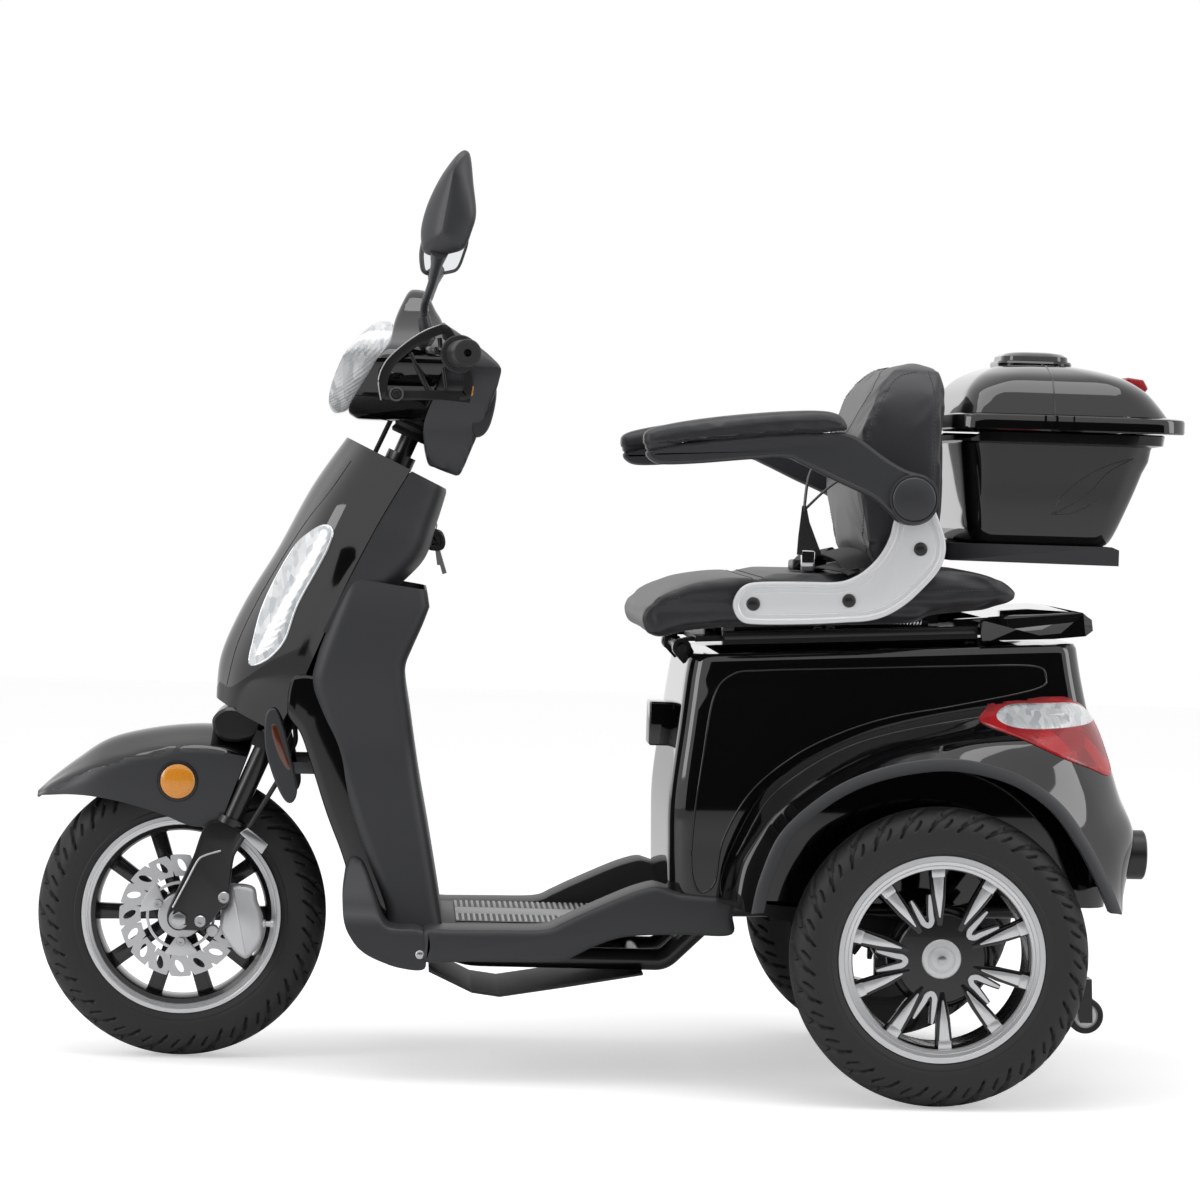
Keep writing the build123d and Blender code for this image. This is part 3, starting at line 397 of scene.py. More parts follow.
def close_tree(tree, given, geometry):
    """Ends a tree in real geometry with its material."""
    real = add(tree, "GeometryNodeRealizeInstances", links={0: geometry})
    coat = add(tree, "GeometryNodeSetMaterial", links={0: real, "Material": given["Material"]})
    add(tree, "NodeGroupOutput", links={0: coat})
    return tree


def ring_tree():
    """Repeats a piece around an axis parallel to Y through a centre."""
    tree, given = new_tree("Repeat round a wheel", [
        ("Count", "Int"), ("Centre", "Vector"), ("Start angle", "Float"), ("Material", "Material")])
    points = add(tree, "GeometryNodePoints", links={"Count": given["Count"],
        "Position": given["Centre"]})
    index = add(tree, "GeometryNodeInputIndex")
    step = add(tree, "ShaderNodeMath", {0: 2 * pi}, {1: given["Count"]}, operation="DIVIDE")
    angle = add(tree, "ShaderNodeMath", links={0: index, 1: step,
        2: given["Start angle"]}, operation="MULTIPLY_ADD")
    turn = add(tree, "ShaderNodeCombineXYZ", links={"Y": angle})
    placed = add(tree, "GeometryNodeInstanceOnPoints", links={
        "Points": points, "Instance": given["Geometry"], "Rotation": turn})
    real = add(tree, "GeometryNodeRealizeInstances", links={0: placed})
    merged = add(tree, "GeometryNodeMergeByDistance", {"Distance": 1e-5}, {0: real})
    return close_tree(tree, given, merged)


def row_tree():
    """Repeats a piece in a straight row."""
    tree, given = new_tree("Repeat in a row", [("Count", "Int"), ("Step", "Vector"),
        ("Material", "Material")])
    line = add(tree, "GeometryNodeMeshLine", links={"Count": given["Count"],
        "Offset": given["Step"]})
    placed = add(tree, "GeometryNodeInstanceOnPoints", links={"Points": line,
        "Instance": given["Geometry"]})
    return close_tree(tree, given, placed)


def stitch_tree():
    """Lays thread stitches end to end along the edges of the given line."""
    tree, given = new_tree("Stitches along a seam", [
        ("Pitch", "Float"), ("Radius", "Float"), ("Material", "Material")])
    curve = add(tree, "GeometryNodeMeshToCurve", links={0: given["Geometry"]})
    even = add(tree, "GeometryNodeResampleCurve", links={0: curve, "Length": given["Pitch"]},
        mode="LENGTH")
    along = add(tree, "GeometryNodeInputTangent")
    turn = add(tree, "FunctionNodeAlignRotationToVector", links={"Vector": along}, axis="X")
    ball = add(tree, "GeometryNodeMeshUVSphere", {"Segments": 6, "Rings": 5, "Radius": 1.0})
    reach = add(tree, "ShaderNodeMath", {1: 0.36}, {0: given["Pitch"]}, operation="MULTIPLY")
    size = add(tree, "ShaderNodeCombineXYZ", links={
        0: reach, 1: given["Radius"], 2: given["Radius"]})
    placed = add(tree, "GeometryNodeInstanceOnPoints", links={"Points": even,
        "Instance": ball, "Rotation": turn, "Scale": size})
    return close_tree(tree, given, placed)


def coil_tree():
    """Helical spring that stands on the origin along Z. It uses nothing of the mesh it is run on."""
    tree, given = new_tree("Coil spring", [("Turns", "Float"), ("Radius", "Float"), ("Length", "Float"),
        ("Wire", "Float"), ("Material", "Material")])
    spiral = add(tree, "GeometryNodeCurveSpiral", {"Resolution": 24},
        {"Rotations": given["Turns"], "Start Radius": given["Radius"],
        "End Radius": given["Radius"], "Height": given["Length"]})
    wire = add(tree, "GeometryNodeCurvePrimitiveCircle", {"Resolution": 10},
        {"Radius": given["Wire"]})
    tube = add(tree, "GeometryNodeCurveToMesh", {"Fill Caps": True}, {0: spiral, 1: wire})
    return close_tree(tree, given, tube)


def screw_tree():
    """Sets the given fastener on every point, its axis along the point's own aim."""
    tree, given = new_tree("Fasteners on points", [("Fastener", "Object"), ("Material", "Material")])
    aim = add(tree, "GeometryNodeInputNamedAttribute", {"Name": "aim"}, data_type="FLOAT_VECTOR")
    turn = add(tree, "FunctionNodeAlignRotationToVector", links={"Vector": aim}, axis="Z")
    info = add(tree, "GeometryNodeObjectInfo", links={"Object": given["Fastener"]})
    placed = add(tree, "GeometryNodeInstanceOnPoints", links={
        "Points": given["Geometry"], "Instance": info.outputs["Geometry"], "Rotation": turn})
    return close_tree(tree, given, placed)


TREES = {}


def grown(obj, kind, maker, **inputs):
    """Runs a geometry tree on an object, in a finish, and keeps the result as its plain mesh."""
    if kind not in TREES:
        TREES[kind] = kind()
    tree = TREES[kind]
    inputs["material"] = paint(maker)
    modifier = obj.modifiers.new(tree.name, "NODES")
    modifier.node_group = tree
    for item in tree.interface.items_tree:
        label = item.name.replace(" ", "_").lower()
        if item.in_out == "INPUT" and label in inputs:
            modifier[item.identifier] = inputs[label]
    return baked(obj)


def line_object(name, runs):
    """Edges through one or more runs of points."""
    points, edges = [], []
    for run in runs:
        start = len(points)
        points += [tuple(p) for p in run]
        edges += [(start + i, start + i + 1) for i in range(len(run) - 1)]
    mesh = bpy.data.meshes.new(name)
    mesh.from_pydata(points, edges, [])
    return linked(name, mesh)


def stitched(name, runs, body):
    """Thread stitches along runs of points, ready on their body."""
    made = grown(line_object(name, runs), stitch_tree, thread, pitch=sizes().stitch_pitch,
        radius=sizes().stitch_radius)
    return dressed(made, thread, body, 60)


def fastened(name, fastener, places, maker):
    """One fastener set at each (point, outward direction)."""
    mesh = bpy.data.meshes.new(name)
    mesh.from_pydata([tuple(p) for p, _ in places], [], [])
    aim = mesh.attributes.new("aim", "FLOAT_VECTOR", "POINT")
    aim.data.foreach_set("vector", [c for _, d in places for c in Vector(d).normalized()])
    made = linked(name, mesh)
    made = grown(made, screw_tree, maker, fastener=fastener)
    bpy.data.objects.remove(fastener)
    return made


# ---------------------------------------------------------------- finishes
def linear(text):
    """sRGB hex to linear colour."""
    text = text.lstrip("#")
    out = []
    for i in (0, 2, 4):
        c = int(text[i:i + 2], 16) / 255
        out.append(c / 12.92 if c <= 0.04045 else ((c + 0.055) / 1.055) ** 2.4)
    return (*out, 1.0)


def shader_of(material):
    return material.node_tree.nodes["Principled BSDF"]


def finish(name, colour, **sockets):
    """A Principled material and its tree."""
    made = bpy.data.materials.new(name)
    made.use_nodes = True
    shader = shader_of(made)
    shader.inputs["Base Color"].default_value = linear(colour)
    for key, value in sockets.items():
        shader.inputs[key.replace("_", " ")].default_value = value
    made.diffuse_color = linear(colour)
    return made


def relief(material, pattern, strength, height, invert=False):
    """Bumps the surface with a pattern whose height is in millimetres."""
    tree = material.node_tree
    bump = add(tree, "ShaderNodeBump", {"Strength": strength, "Distance": height * MM}, {"Height": pattern},
        invert=invert)
    tree.links.new(bump.outputs[0], shader_of(material).inputs["Normal"])
    return material


def grain(material, size, strength, height, detail=3.0):
    """Random grain of a given size in millimetres."""
    tree = material.node_tree
    place = add(tree, "ShaderNodeTexCoord")
    noise = add(tree, "ShaderNodeTexNoise", {"Scale": 1000.0 / size, "Detail": detail, "Roughness": 0.6},
                {"Vector": place.outputs["Object"]})
    return relief(material, noise, strength, height)


def cells(material, size, **settings):
    """Cell pattern of a given size in millimetres, as a node."""
    tree = material.node_tree
    place = add(tree, "ShaderNodeTexCoord")
    return add(tree, "ShaderNodeTexVoronoi", {"Scale": 1000.0 / size}, {"Vector": place.outputs["Object"]},
        **settings)


def shaded(material, factor, dark, light):
    """Mixes the base colour from two hex colours."""
    tree = material.node_tree
    mix = add(tree, "ShaderNodeMixRGB", {"Color1": linear(dark), "Color2": linear(light)}, {"Fac": factor})
    tree.links.new(mix.outputs["Color"], shader_of(material).inputs["Base Color"])
    return material


def pebbled(material, size, strength, height):
    """Cells of a given size in millimetres, as embossed hide has."""
    return relief(material, cells(material, size, feature="SMOOTH_F1"), strength, height)


WAVES_PER_METRE = 314.159       # scale of the wave texture for a pitch of 1 mm


def striped(material, pitch, strength, height, direction="DIAGONAL"):
    """Straight ridges at a pitch in millimetres."""
    tree = material.node_tree
    place = add(tree, "ShaderNodeTexCoord")
    waves = add(tree, "ShaderNodeTexWave", {"Scale": WAVES_PER_METRE / pitch},
        {"Vector": place.outputs["Object"]}, wave_type="BANDS", bands_direction=direction)
    return relief(material, waves.outputs[1], strength, height)


def abs_gloss():
    # Injection-moulded ABS, piano black: deep colour and mirror-sharp reflections.
    return finish("moulded_abs_gloss_black", colours().bodywork, Roughness=0.05, IOR=1.54, Coat_Weight=0.4,
        Coat_Roughness=0.02)


def pp_grained():
    # Moulded polypropylene from a spark-eroded tool: fine grain that breaks up the light.
    return grain(finish("moulded_pp_grained_black", colours().moulding, Roughness=0.5, IOR=1.49), 1.6, 0.25,
        0.25)


def pp_satin():
    # Moulded polypropylene with a satin tool: arms, lips and covers with a soft sheen.
    return grain(finish("moulded_pp_satin_grey", "#333437", Roughness=0.4, IOR=1.49), 2.5, 0.08, 0.2)


def nylon_black():
    # Moulded nylon: caps and small parts, a little shinier than the panels' grain.
    return finish("moulded_nylon_black", "#1B1B1D", Roughness=0.33, IOR=1.53)


def tyre_rubber():
    # Vulcanised rubber from a smooth mould: dark grey, dull, faintly mottled.
    return grain(finish("vulcanised_tyre_rubber", "#1E1E1F", Roughness=0.62, IOR=1.52), 4.0, 0.12, 0.3)


def soft_rubber():
    # Moulded soft rubber: grips and bellows, matt.
    return finish("moulded_soft_rubber", "#1F1F21", Roughness=0.55, IOR=1.52)


def powder_coat():
    # Steel with black powder coat: slight orange peel under a satin shine.
    return grain(finish("powder_coated_steel_black", "#131314", Roughness=0.3, IOR=1.5, Coat_Weight=0.2), 3.0,
        0.1, 0.12)


def wheel_paint():
    # Cast aluminium with black stoved paint: smooth satin gloss.
    return finish("painted_cast_aluminium_black", "#161617", Roughness=0.24, IOR=1.5, Coat_Weight=0.3)


def wheel_cut():
    # Diamond-turned aluminium: bright, with fine turning rings.
    return finish("turned_aluminium_bright", "#DCDDDF", Metallic=0.7, Roughness=0.3)


def disc_steel():
    # Ground stainless steel: grey metal with faint circular scratches.
    return grain(finish("ground_stainless_steel", "#D3D4D6", Metallic=0.8, Roughness=0.36), 1.2, 0.06, 0.1)


def cast_silver():
    # Sand-blasted cast aluminium in silver lacquer: even, softly grained grey.
    return grain(finish("lacquered_cast_aluminium", "#D2D3D5", Metallic=0.45, Roughness=0.38,
        Coat_Weight=0.3), 1.5, 0.15, 0.15)


def bracket_paint():
    # Pressed steel in silver paint: pale metallic satin.
    return grain(finish("painted_steel_silver", colours().bracket, Metallic=0.2, Roughness=0.36,
        Coat_Weight=0.25), 1.2, 0.04, 0.1)


def chrome():
    # Chrome plate on steel: mirror bright.
    return finish("chrome_plate", "#E3E4E6", Metallic=1.0, Roughness=0.07)


def zinc():
    # Zinc-plated steel: bolts and nuts, light grey metal.
    return finish("zinc_plated_steel", "#C2C3C5", Metallic=1.0, Roughness=0.28)


def leather():
    # PVC leathercloth with an embossed hide grain: soft highlights broken by small pebbles.
    return pebbled(finish("embossed_pvc_leathercloth", colours().leather, Roughness=0.42, IOR=1.5,
        Sheen_Weight=0.12, Sheen_Roughness=0.4), 1.7, 0.22, 0.35)


def thread():
    # Twisted polyester thread: dull dark grey.
    return finish("twisted_polyester_thread", "#3A3B3E", Roughness=0.7)


def webbing():
    # Woven polyester webbing: ribs across the strap.
    return striped(finish("woven_polyester_webbing", "#191A1C", Roughness=0.65, Sheen_Weight=0.2), 2.0, 0.5,
        0.4)


def clear_lens():
    # Injection-moulded polycarbonate over a bright reflector: silvery with fine flutes under a glossy skin,
    # and painted reflections of the reflector's facets.
    made = finish("polycarbonate_over_reflector", "#E6E8EA", Metallic=0.2, Roughness=0.22, Coat_Weight=1.0,
        Coat_Roughness=0.02)
    tree = made.node_tree
    place = add(tree, "ShaderNodeTexCoord")
    flat = add(tree, "ShaderNodeVectorMath", {1: (1.0, 0.3, 0.45)}, {0: place.outputs["Object"]},
        operation="MULTIPLY")
    painted_facet_glints = add(tree, "ShaderNodeTexVoronoi", {"Scale": 1000.0 / 7.0}, {"Vector": flat})
    # Painted reflection: each 7 mm cell is a random grey between near white and mid grey, as the reflector's
    # facets would catch the light.
    shaded(made, painted_facet_glints.outputs["Color"], "#F2F3F4", "#B4B8BC")
    return striped(made, 4.0, 0.4, 0.5)


def bright_frame():
    # Vacuum-metallised lamp housing: soft mirror.
    return finish("metallised_lamp_housing", "#CFD2D6", Metallic=1.0, Roughness=0.16)


def mat_grey():
    # Moulded thermoplastic rubber in pale grey: the grip of the foot mat.
    return grain(finish("thermoplastic_rubber_grey", "#B9BABB", Roughness=0.5), 1.5, 0.05, 0.2)


def tail_lens():
    # Red polycarbonate with slanting optic fields and square prisms behind its glossy skin.
    made = finish("red_polycarbonate_lens", colours().tail, Roughness=0.3, IOR=1.58, Coat_Weight=0.3,
        Coat_Roughness=0.02)
    shaded(made, cells(made, 34.0).outputs["Color"], "#6E0810", colours().tail)
    return relief(made, cells(made, 5.5, distance="CHEBYCHEV"), 0.35, 1.0)


def amber_in_painted_shade():
    # Acrylic reflector in painted shade: the amber darkened to deep brown, with a glossy skin.
    return finish("acrylic_reflector_brown", "#54260F", Roughness=0.2, IOR=1.49, Coat_Weight=1.0)


def amber():
    # Acrylic reflector with corner-cube prisms: glowing orange with a fine cell pattern.
    made = finish("acrylic_prism_reflector_amber", colours().reflector, Roughness=0.2, IOR=1.49,
        Coat_Weight=1.0)
    return relief(made, cells(made, 2.6), 0.6, 0.5)


def mirror_glass():
    # Silvered glass: a clean mirror.
    return finish("silvered_mirror_glass", "#E8EAEC", Metallic=1.0, Roughness=0.02)


def spring_red():
    # Spring steel in red powder coat.
    return finish("powder_coated_spring_red", "#B8301C", Roughness=0.35, Coat_Weight=0.3)


FINISHES = {}


def paint(maker):
    if maker not in FINISHES:
        FINISHES[maker] = maker()
    return FINISHES[maker]


# ---------------------------------------------------------------- stage
FOCAL_LENGTH = 109.8
CAMERA_TURN = (3.15, 1.92, 1.69)        # yaw, pitch and roll in degrees
CAMERA_PLACE = (0.2938, 5.2, 0.8372)    # behind the front axle, to the left and above the ground, in metres


def lamp(name, place, aim, width, height, power):
    data = bpy.data.lights.new(name, "AREA")
    data.shape = "RECTANGLE"
    data.size = width
    data.size_y = height
    data.energy = power
    made = linked(name, data)
    made.location = place
    made.rotation_euler = (Vector(aim) - Vector(place)).to_track_quat("-Z", "Y").to_euler()
    return made


class SCOOTER_OT_stage(Operator):
    """Floor, white surroundings, studio lamps and the camera"""

    bl_idname = "scooter.stage"
    bl_label = "Stage and camera"

    def execute(self, context):
        scene = context.scene
        scene.view_settings.view_transform = "Standard"
        world = bpy.data.worlds.new("Studio")
        scene.world = world
        world.use_nodes = True
        tree = world.node_tree
        shade = tree.nodes["Background"]
        ray = add(tree, "ShaderNodeLightPath")
        seen = add(tree, "ShaderNodeMath", links={0: ray.outputs["Is Camera Ray"],
            1: ray.outputs["Is Glossy Ray"]}, operation="MAXIMUM")
        both = add(tree, "ShaderNodeMath", links={0: seen, 1: ray.outputs["Is Transmission Ray"]},
                   operation="MAXIMUM")
        level = add(tree, "ShaderNodeMapRange", {"To Min": 0.55, "To Max": 1.0}, {0: both})
        tree.links.new(level.outputs[0], shade.inputs["Strength"])
        shade.inputs["Color"].default_value = (1, 1, 1, 1)

        floor = mesh_object("studio_floor", [(-9, -9, 0), (9, -9, 0), (9, 9, 0), (-9, 9, 0)], [(0, 1, 2, 3)])
        pale = finish("matt_white_floor", "#F6F6F6", Roughness=0.8)
        floor.data.materials.append(pale)
        tree = pale.node_tree
        ray = add(tree, "ShaderNodeLightPath")
        glow = add(tree, "ShaderNodeMapRange", {"To Min": 0.0, "To Max": 0.42},
            {0: ray.outputs["Is Camera Ray"]})
        shader_of(pale).inputs["Emission Color"].default_value = (1, 1, 1, 1)
        tree.links.new(glow.outputs[0], shader_of(pale).inputs["Emission Strength"])
        flag = mesh_object("black_flag", [(-5, 6.4, -0.5), (5, 6.4, -0.5), (5, 6.4, 3.4), (-5, 6.4, 3.4)],
            [(0, 1, 2, 3)])
        flag.data.materials.append(finish("black_felt", "#0A0A0A", Roughness=1.0))
        flag.visible_camera = False
        flag.visible_diffuse = False
        flag.visible_shadow = False
        lamps = [
            lamp("overhead_softbox", (0.1, 0.5, 3.2), (0, 0, 0.4), 3.0, 1.6, 34),
            lamp("front_softbox", (3.0, 1.6, 1.7), (0.3, 0, 0.6), 1.2, 2.0, 26),
            lamp("rear_softbox", (-3.2, 1.4, 1.8), (-0.3, 0, 0.6), 1.0, 2.0, 20),
        ]

        data = bpy.data.cameras.new("view")
        data.sensor_width = 36
        data.lens = FOCAL_LENGTH
        data.clip_end = 60
        camera = linked("view", data)
        yaw, pitch, roll = (radians(a) for a in CAMERA_TURN)
        ahead = Vector((-sin(yaw) * cos(pitch), -cos(yaw) * cos(pitch), -sin(pitch)))
        right = Vector((-cos(yaw), sin(yaw), 0))
        up = right.cross(ahead)
        across = right * cos(roll) + up * sin(roll)
        upright = up * cos(roll) - right * sin(roll)
        camera.matrix_world = Matrix((
            (across.x, upright.x, -ahead.x, FRONT_AXLE.x - CAMERA_PLACE[0]),
            (across.y, upright.y, -ahead.y, CAMERA_PLACE[1]),
            (across.z, upright.z, -ahead.z, CAMERA_PLACE[2]),
            (0, 0, 0, 1)))
        scene.camera = camera
        return {"FINISHED"}


# ---------------------------------------------------------------- wheels
# Each groove: where it starts and ends across the tread in millimetres, then in pitches its offset, its
# sweep and half its width.
GROOVES = ((5.0, 46.0, 0.10, 0.95, 0.115), (22.0, 58.0, 0.62, 0.60, 0.075), (34.0, 52.0, 0.30, 0.35, 0.05))
CENTRE_GROOVE = 3.0


def tread_height(around, across):
    """Share of the groove depth on the tread: turns in pitches, across in millimetres from the middle."""
    reach = abs(across)
    depth = 0.0
    mirror = 0.5 if across < 0 else 0.0
    for start, end, offset, sweep_by, width in GROOVES:
        if not start < reach < end:
            continue
        share = (reach - start) / (end - start)
        line = offset + mirror + sweep_by * share ** 1.35
        gap = abs((around - line + 0.5) % 1.0 - 0.5)
        taper = width * min(1.0, 5 * share + 0.25) * min(1.0, 4 * (1 - share) + 0.1)
        depth = max(depth, max(0.0, min(1.0, (taper - gap) / 0.035)))
    if reach < CENTRE_GROOVE:
        depth = max(depth, min(1.0, CENTRE_GROOVE - reach))
    return depth


def tyre_profile():
    """Half section of the tyre from the bead to the crown, as (radius, from the middle plane)."""
    r, half = TYRE_RADIUS, TYRE_HALF_WIDTH
    return [Vector(p) for p in ((r - TYRE_WALL, half - 8.4, 0), (r - 62.0, half - 5.0, 0),
        (r - 55.5, half - 2.2, 0), (r - 54.5, half - 2.9, 0), (r - 48.0, half - 1.2, 0),
        (r - 36.0, half - 0.3, 0), (r - 26.0, half - 1.0, 0), (r - 17.0, half - 5.6, 0),
        (r - 9.0, half - 13.0, 0), (r - 3.0, half - 24.0, 0), (r - 0.4, 0, 0))]


def tyre(name, centre, forward=1):
    """Tyre with its groove pattern: one pitch is modelled, and a geometry tree repeats it."""
    pitches = sizes().tread_pitches
    depth = sizes().tread_depth / MM
    half = smooth_line(tyre_profile(), 44)
    outline = half + [Vector((p.x, -p.y, 0)) for p in reversed(half[:-1])]
    lengths = [0.0]
    for a, b in zip(outline, outline[1:]):
        lengths.append(lengths[-1] + (b - a).length)
    middle = lengths[len(half) - 1]
    steps = 22
    rings = []
    for i in range(steps + 1):
        turn = i / steps
        angle = 2 * pi * turn / pitches
        ring = []
        for k, p in enumerate(outline):
            cut = tread_height(turn * forward, lengths[k] - middle) * depth
            before, after = outline[max(k - 1, 0)], outline[min(k + 1, len(outline) - 1)]
            along = (after - before).normalized()
            inward = Vector((along.y, -along.x, 0))
            if inward.x > 0 or (abs(inward.x) < 1e-3 and inward.y * p.y > 0):
                inward = -inward
            q = p + inward * cut
            ring.append(Vector((q.x * sin(angle), q.y, q.x * cos(angle))) * MM)
        inner = [Vector((r * sin(angle), y, r * cos(angle))) * MM
                 for r, y in ((TYRE_RADIUS - TYRE_WALL, -24.0), (TYRE_RADIUS - TYRE_WALL, 24.0))]
        rings.append(ring + inner)
    segment = skin(name, rings, caps=False)
    made = grown(segment, ring_tree, tyre_rubber, count=pitches, centre=tuple(centre), start_angle=0.0)
    return tidy(made, 2e-5)


class SCOOTER_OT_tyres(Operator):
    """The three tyres with their directional grooves"""

    bl_idname = "scooter.tyres"
    bl_label = "Tyres"

    def execute(self, context):
        for name, body in (("front_tyre", "front_wheel"), ("rear_tyre_left", "rear_wheel_left"),
                ("rear_tyre_right", "rear_wheel_right")):
            made = tyre(name + "_rubber", centre_of(name))
            dressed(made, tyre_rubber, body, 40, [name])
        return {"FINISHED"}


def wheel_prism(name, corners, centre, y_from, y_to, bevel=0.6):
    """Flat piece of a wheel from corners given as (sideways, outwards) in millimetres."""
    rings = [[centre + Vector((a, y, b)) * MM for a, b in corners] for y in (y_from, y_to)]
    made = skin(name, rings)
    return rounded(made, bevel, 2) if bevel else made


def hexagon(radius):
    return [(radius * sin(radians(60 * k)), radius * cos(radians(60 * k))) for k in range(6)]


def repeated(piece, count, centre, start, maker):
    """Moves a piece modelled at the wheel's centre to the axle and repeats it round it."""
    piece.data.transform(Matrix.Translation(-centre))
    return grown(piece, ring_tree, maker, count=count, centre=tuple(centre), start_angle=radians(start))


def ring_arc(radius, start, end, steps):
    return [(radius * sin(radians(start + (end - start) * i / steps)),
             radius * cos(radians(start + (end - start) * i / steps))) for i in range(steps + 1)]


class SCOOTER_OT_front_wheel(Operator):
    """Front rim with ten flat spokes, slotted disc and its carrier"""

    bl_idname = "scooter.front_wheel"
    bl_label = "Front wheel"

    def execute(self, context):
        c = FRONT_AXLE
        barrel = turned("rim", [(118, -20), (121, -26), (126, -29), (130, -32), (136, -33), (140, -33),
            (140.5, -30), (134, -27), (129, -12), (128, 12), (134, 27), (140.5, 30), (140, 33), (136, 33),
            (130, 32), (126, 29), (121, 26), (118, 20), (117, 0)], c, 120)
        coated(barrel, wheel_paint)
        lip = turned("lip", [(126.6, 30.0), (127.4, 31.6), (130.6, 32.2), (131.2, 33.4), (133.6, 33.8),
            (134.2, 33.2), (135.0, 33.8), (139.6, 33.8), (140.4, 31.0), (136, 29)], c, 120)
        coated(lip, wheel_cut)
        spoke = wheel_prism("spoke", [(-9.5, 28), (9.5, 28), (11.5, 120), (-11.5, 120)], c, 0, 12, 1.2)
        groove = wheel_prism("groove", [(-5.2, 50), (5.2, 50), (6.8, 114), (-6.8, 114)], c, 12, 13.2, 1.0)
        spokes = repeated(spoke, 10, c, 18, wheel_paint)
        ridges = repeated(groove, 10, c, 18, wheel_paint)
        hub = turned("hub", [(8, -46), (22, -46), (24, -30), (34, -28), (36, 10), (34, 30), (24, 34),
            (8, 34)], c, 64)
        coated(hub, wheel_paint)
        rim = joined("front_rim_cast", [barrel, lip, spokes, ridges, hub])
        dressed(rim, None, "front_wheel", 30, ["front_rim"])

        slots, sides, slot_circle, slot_lean = 16, 24, 71.5, radians(32)
        step = 360 / slots
        oval = []
        for k in range(sides):
            a = 2 * pi * k / sides
            along, wide = 9.8 * cos(a), 4.6 * sin(a)
            oval.append((along * sin(slot_lean) + wide * cos(slot_lean),
                         slot_circle + along * cos(slot_lean) - wide * sin(slot_lean)))
        frame_line = []
        for x, z in oval:
            angle, reach = degrees(atan2(x, z)), hypot(x, z)
            away = atan2(reach - slot_circle, angle * 1.25)
            across, rise = cos(away), sin(away)
            size = min((step / 2) / max(abs(across), 1e-6), 15.0 / max(abs(rise), 1e-6))
            a2, r2 = across * size, 71 + rise * size
            frame_line.append((r2 * sin(radians(a2)), r2 * cos(radians(a2))))
        points, faces = [], []
        for y in (43.0, 47.0):
            points += [c + Vector((x, y, z)) * MM for x, z in oval]
            points += [c + Vector((x, y, z)) * MM for x, z in frame_line]
        for k in range(sides):
            m = (k + 1) % sides
            faces.append((2 * sides + k, 3 * sides + k, 3 * sides + m, 2 * sides + m))
            faces.append((k, m, sides + m, sides + k))
            faces.append((k, 2 * sides + k, 2 * sides + m, m))
        cell = tidy(mesh_object("cell", points, faces))
        face = repeated(cell, slots, c, 0, disc_steel)
        tidy(face, 6e-4)
        carrier = wheel_prism("arm", ring_arc(57, -24, 24, 8) + ring_arc(30, 12, -12, 3), c, 41, 48.5, 0.8)
        arms = repeated(carrier, 3, c, -58, cast_silver)
        ring = turned("ring", [(44.5, 42), (44.5, 46), (48.5, 46), (48.5, 42)], c, 72)
        boss = turned("boss", [(12, 34), (12, 50), (30, 50), (31.5, 48.5), (31.5, 34)], c, 64)
        coated(ring, cast_silver)
        coated(boss, cast_silver)
        disc = joined("brake_disc_ground", [face, arms, ring, boss])
        dressed(disc, None, "front_wheel", 30, ["brake_disc"])

        head = turned("head", [(0.01, 3.0), (2.4, 3.0), (2.4, 6.0), (5.6, 6.0), (6.2, 5.2), (6.2, 0),
            (0.01, 0)], Vector((0, 0, 0)), 24, "Z")
        spots = [(c + Vector((36 * sin(radians(a)), 48.3, 36 * cos(radians(a)))) * MM, (0, 1, 0))
                 for a in (-58, 62, 182)]
        bolts = fastened("disc_bolts", head, spots, zinc)
        dressed(bolts, zinc, "front_wheel", 30)
        return {"FINISHED"}


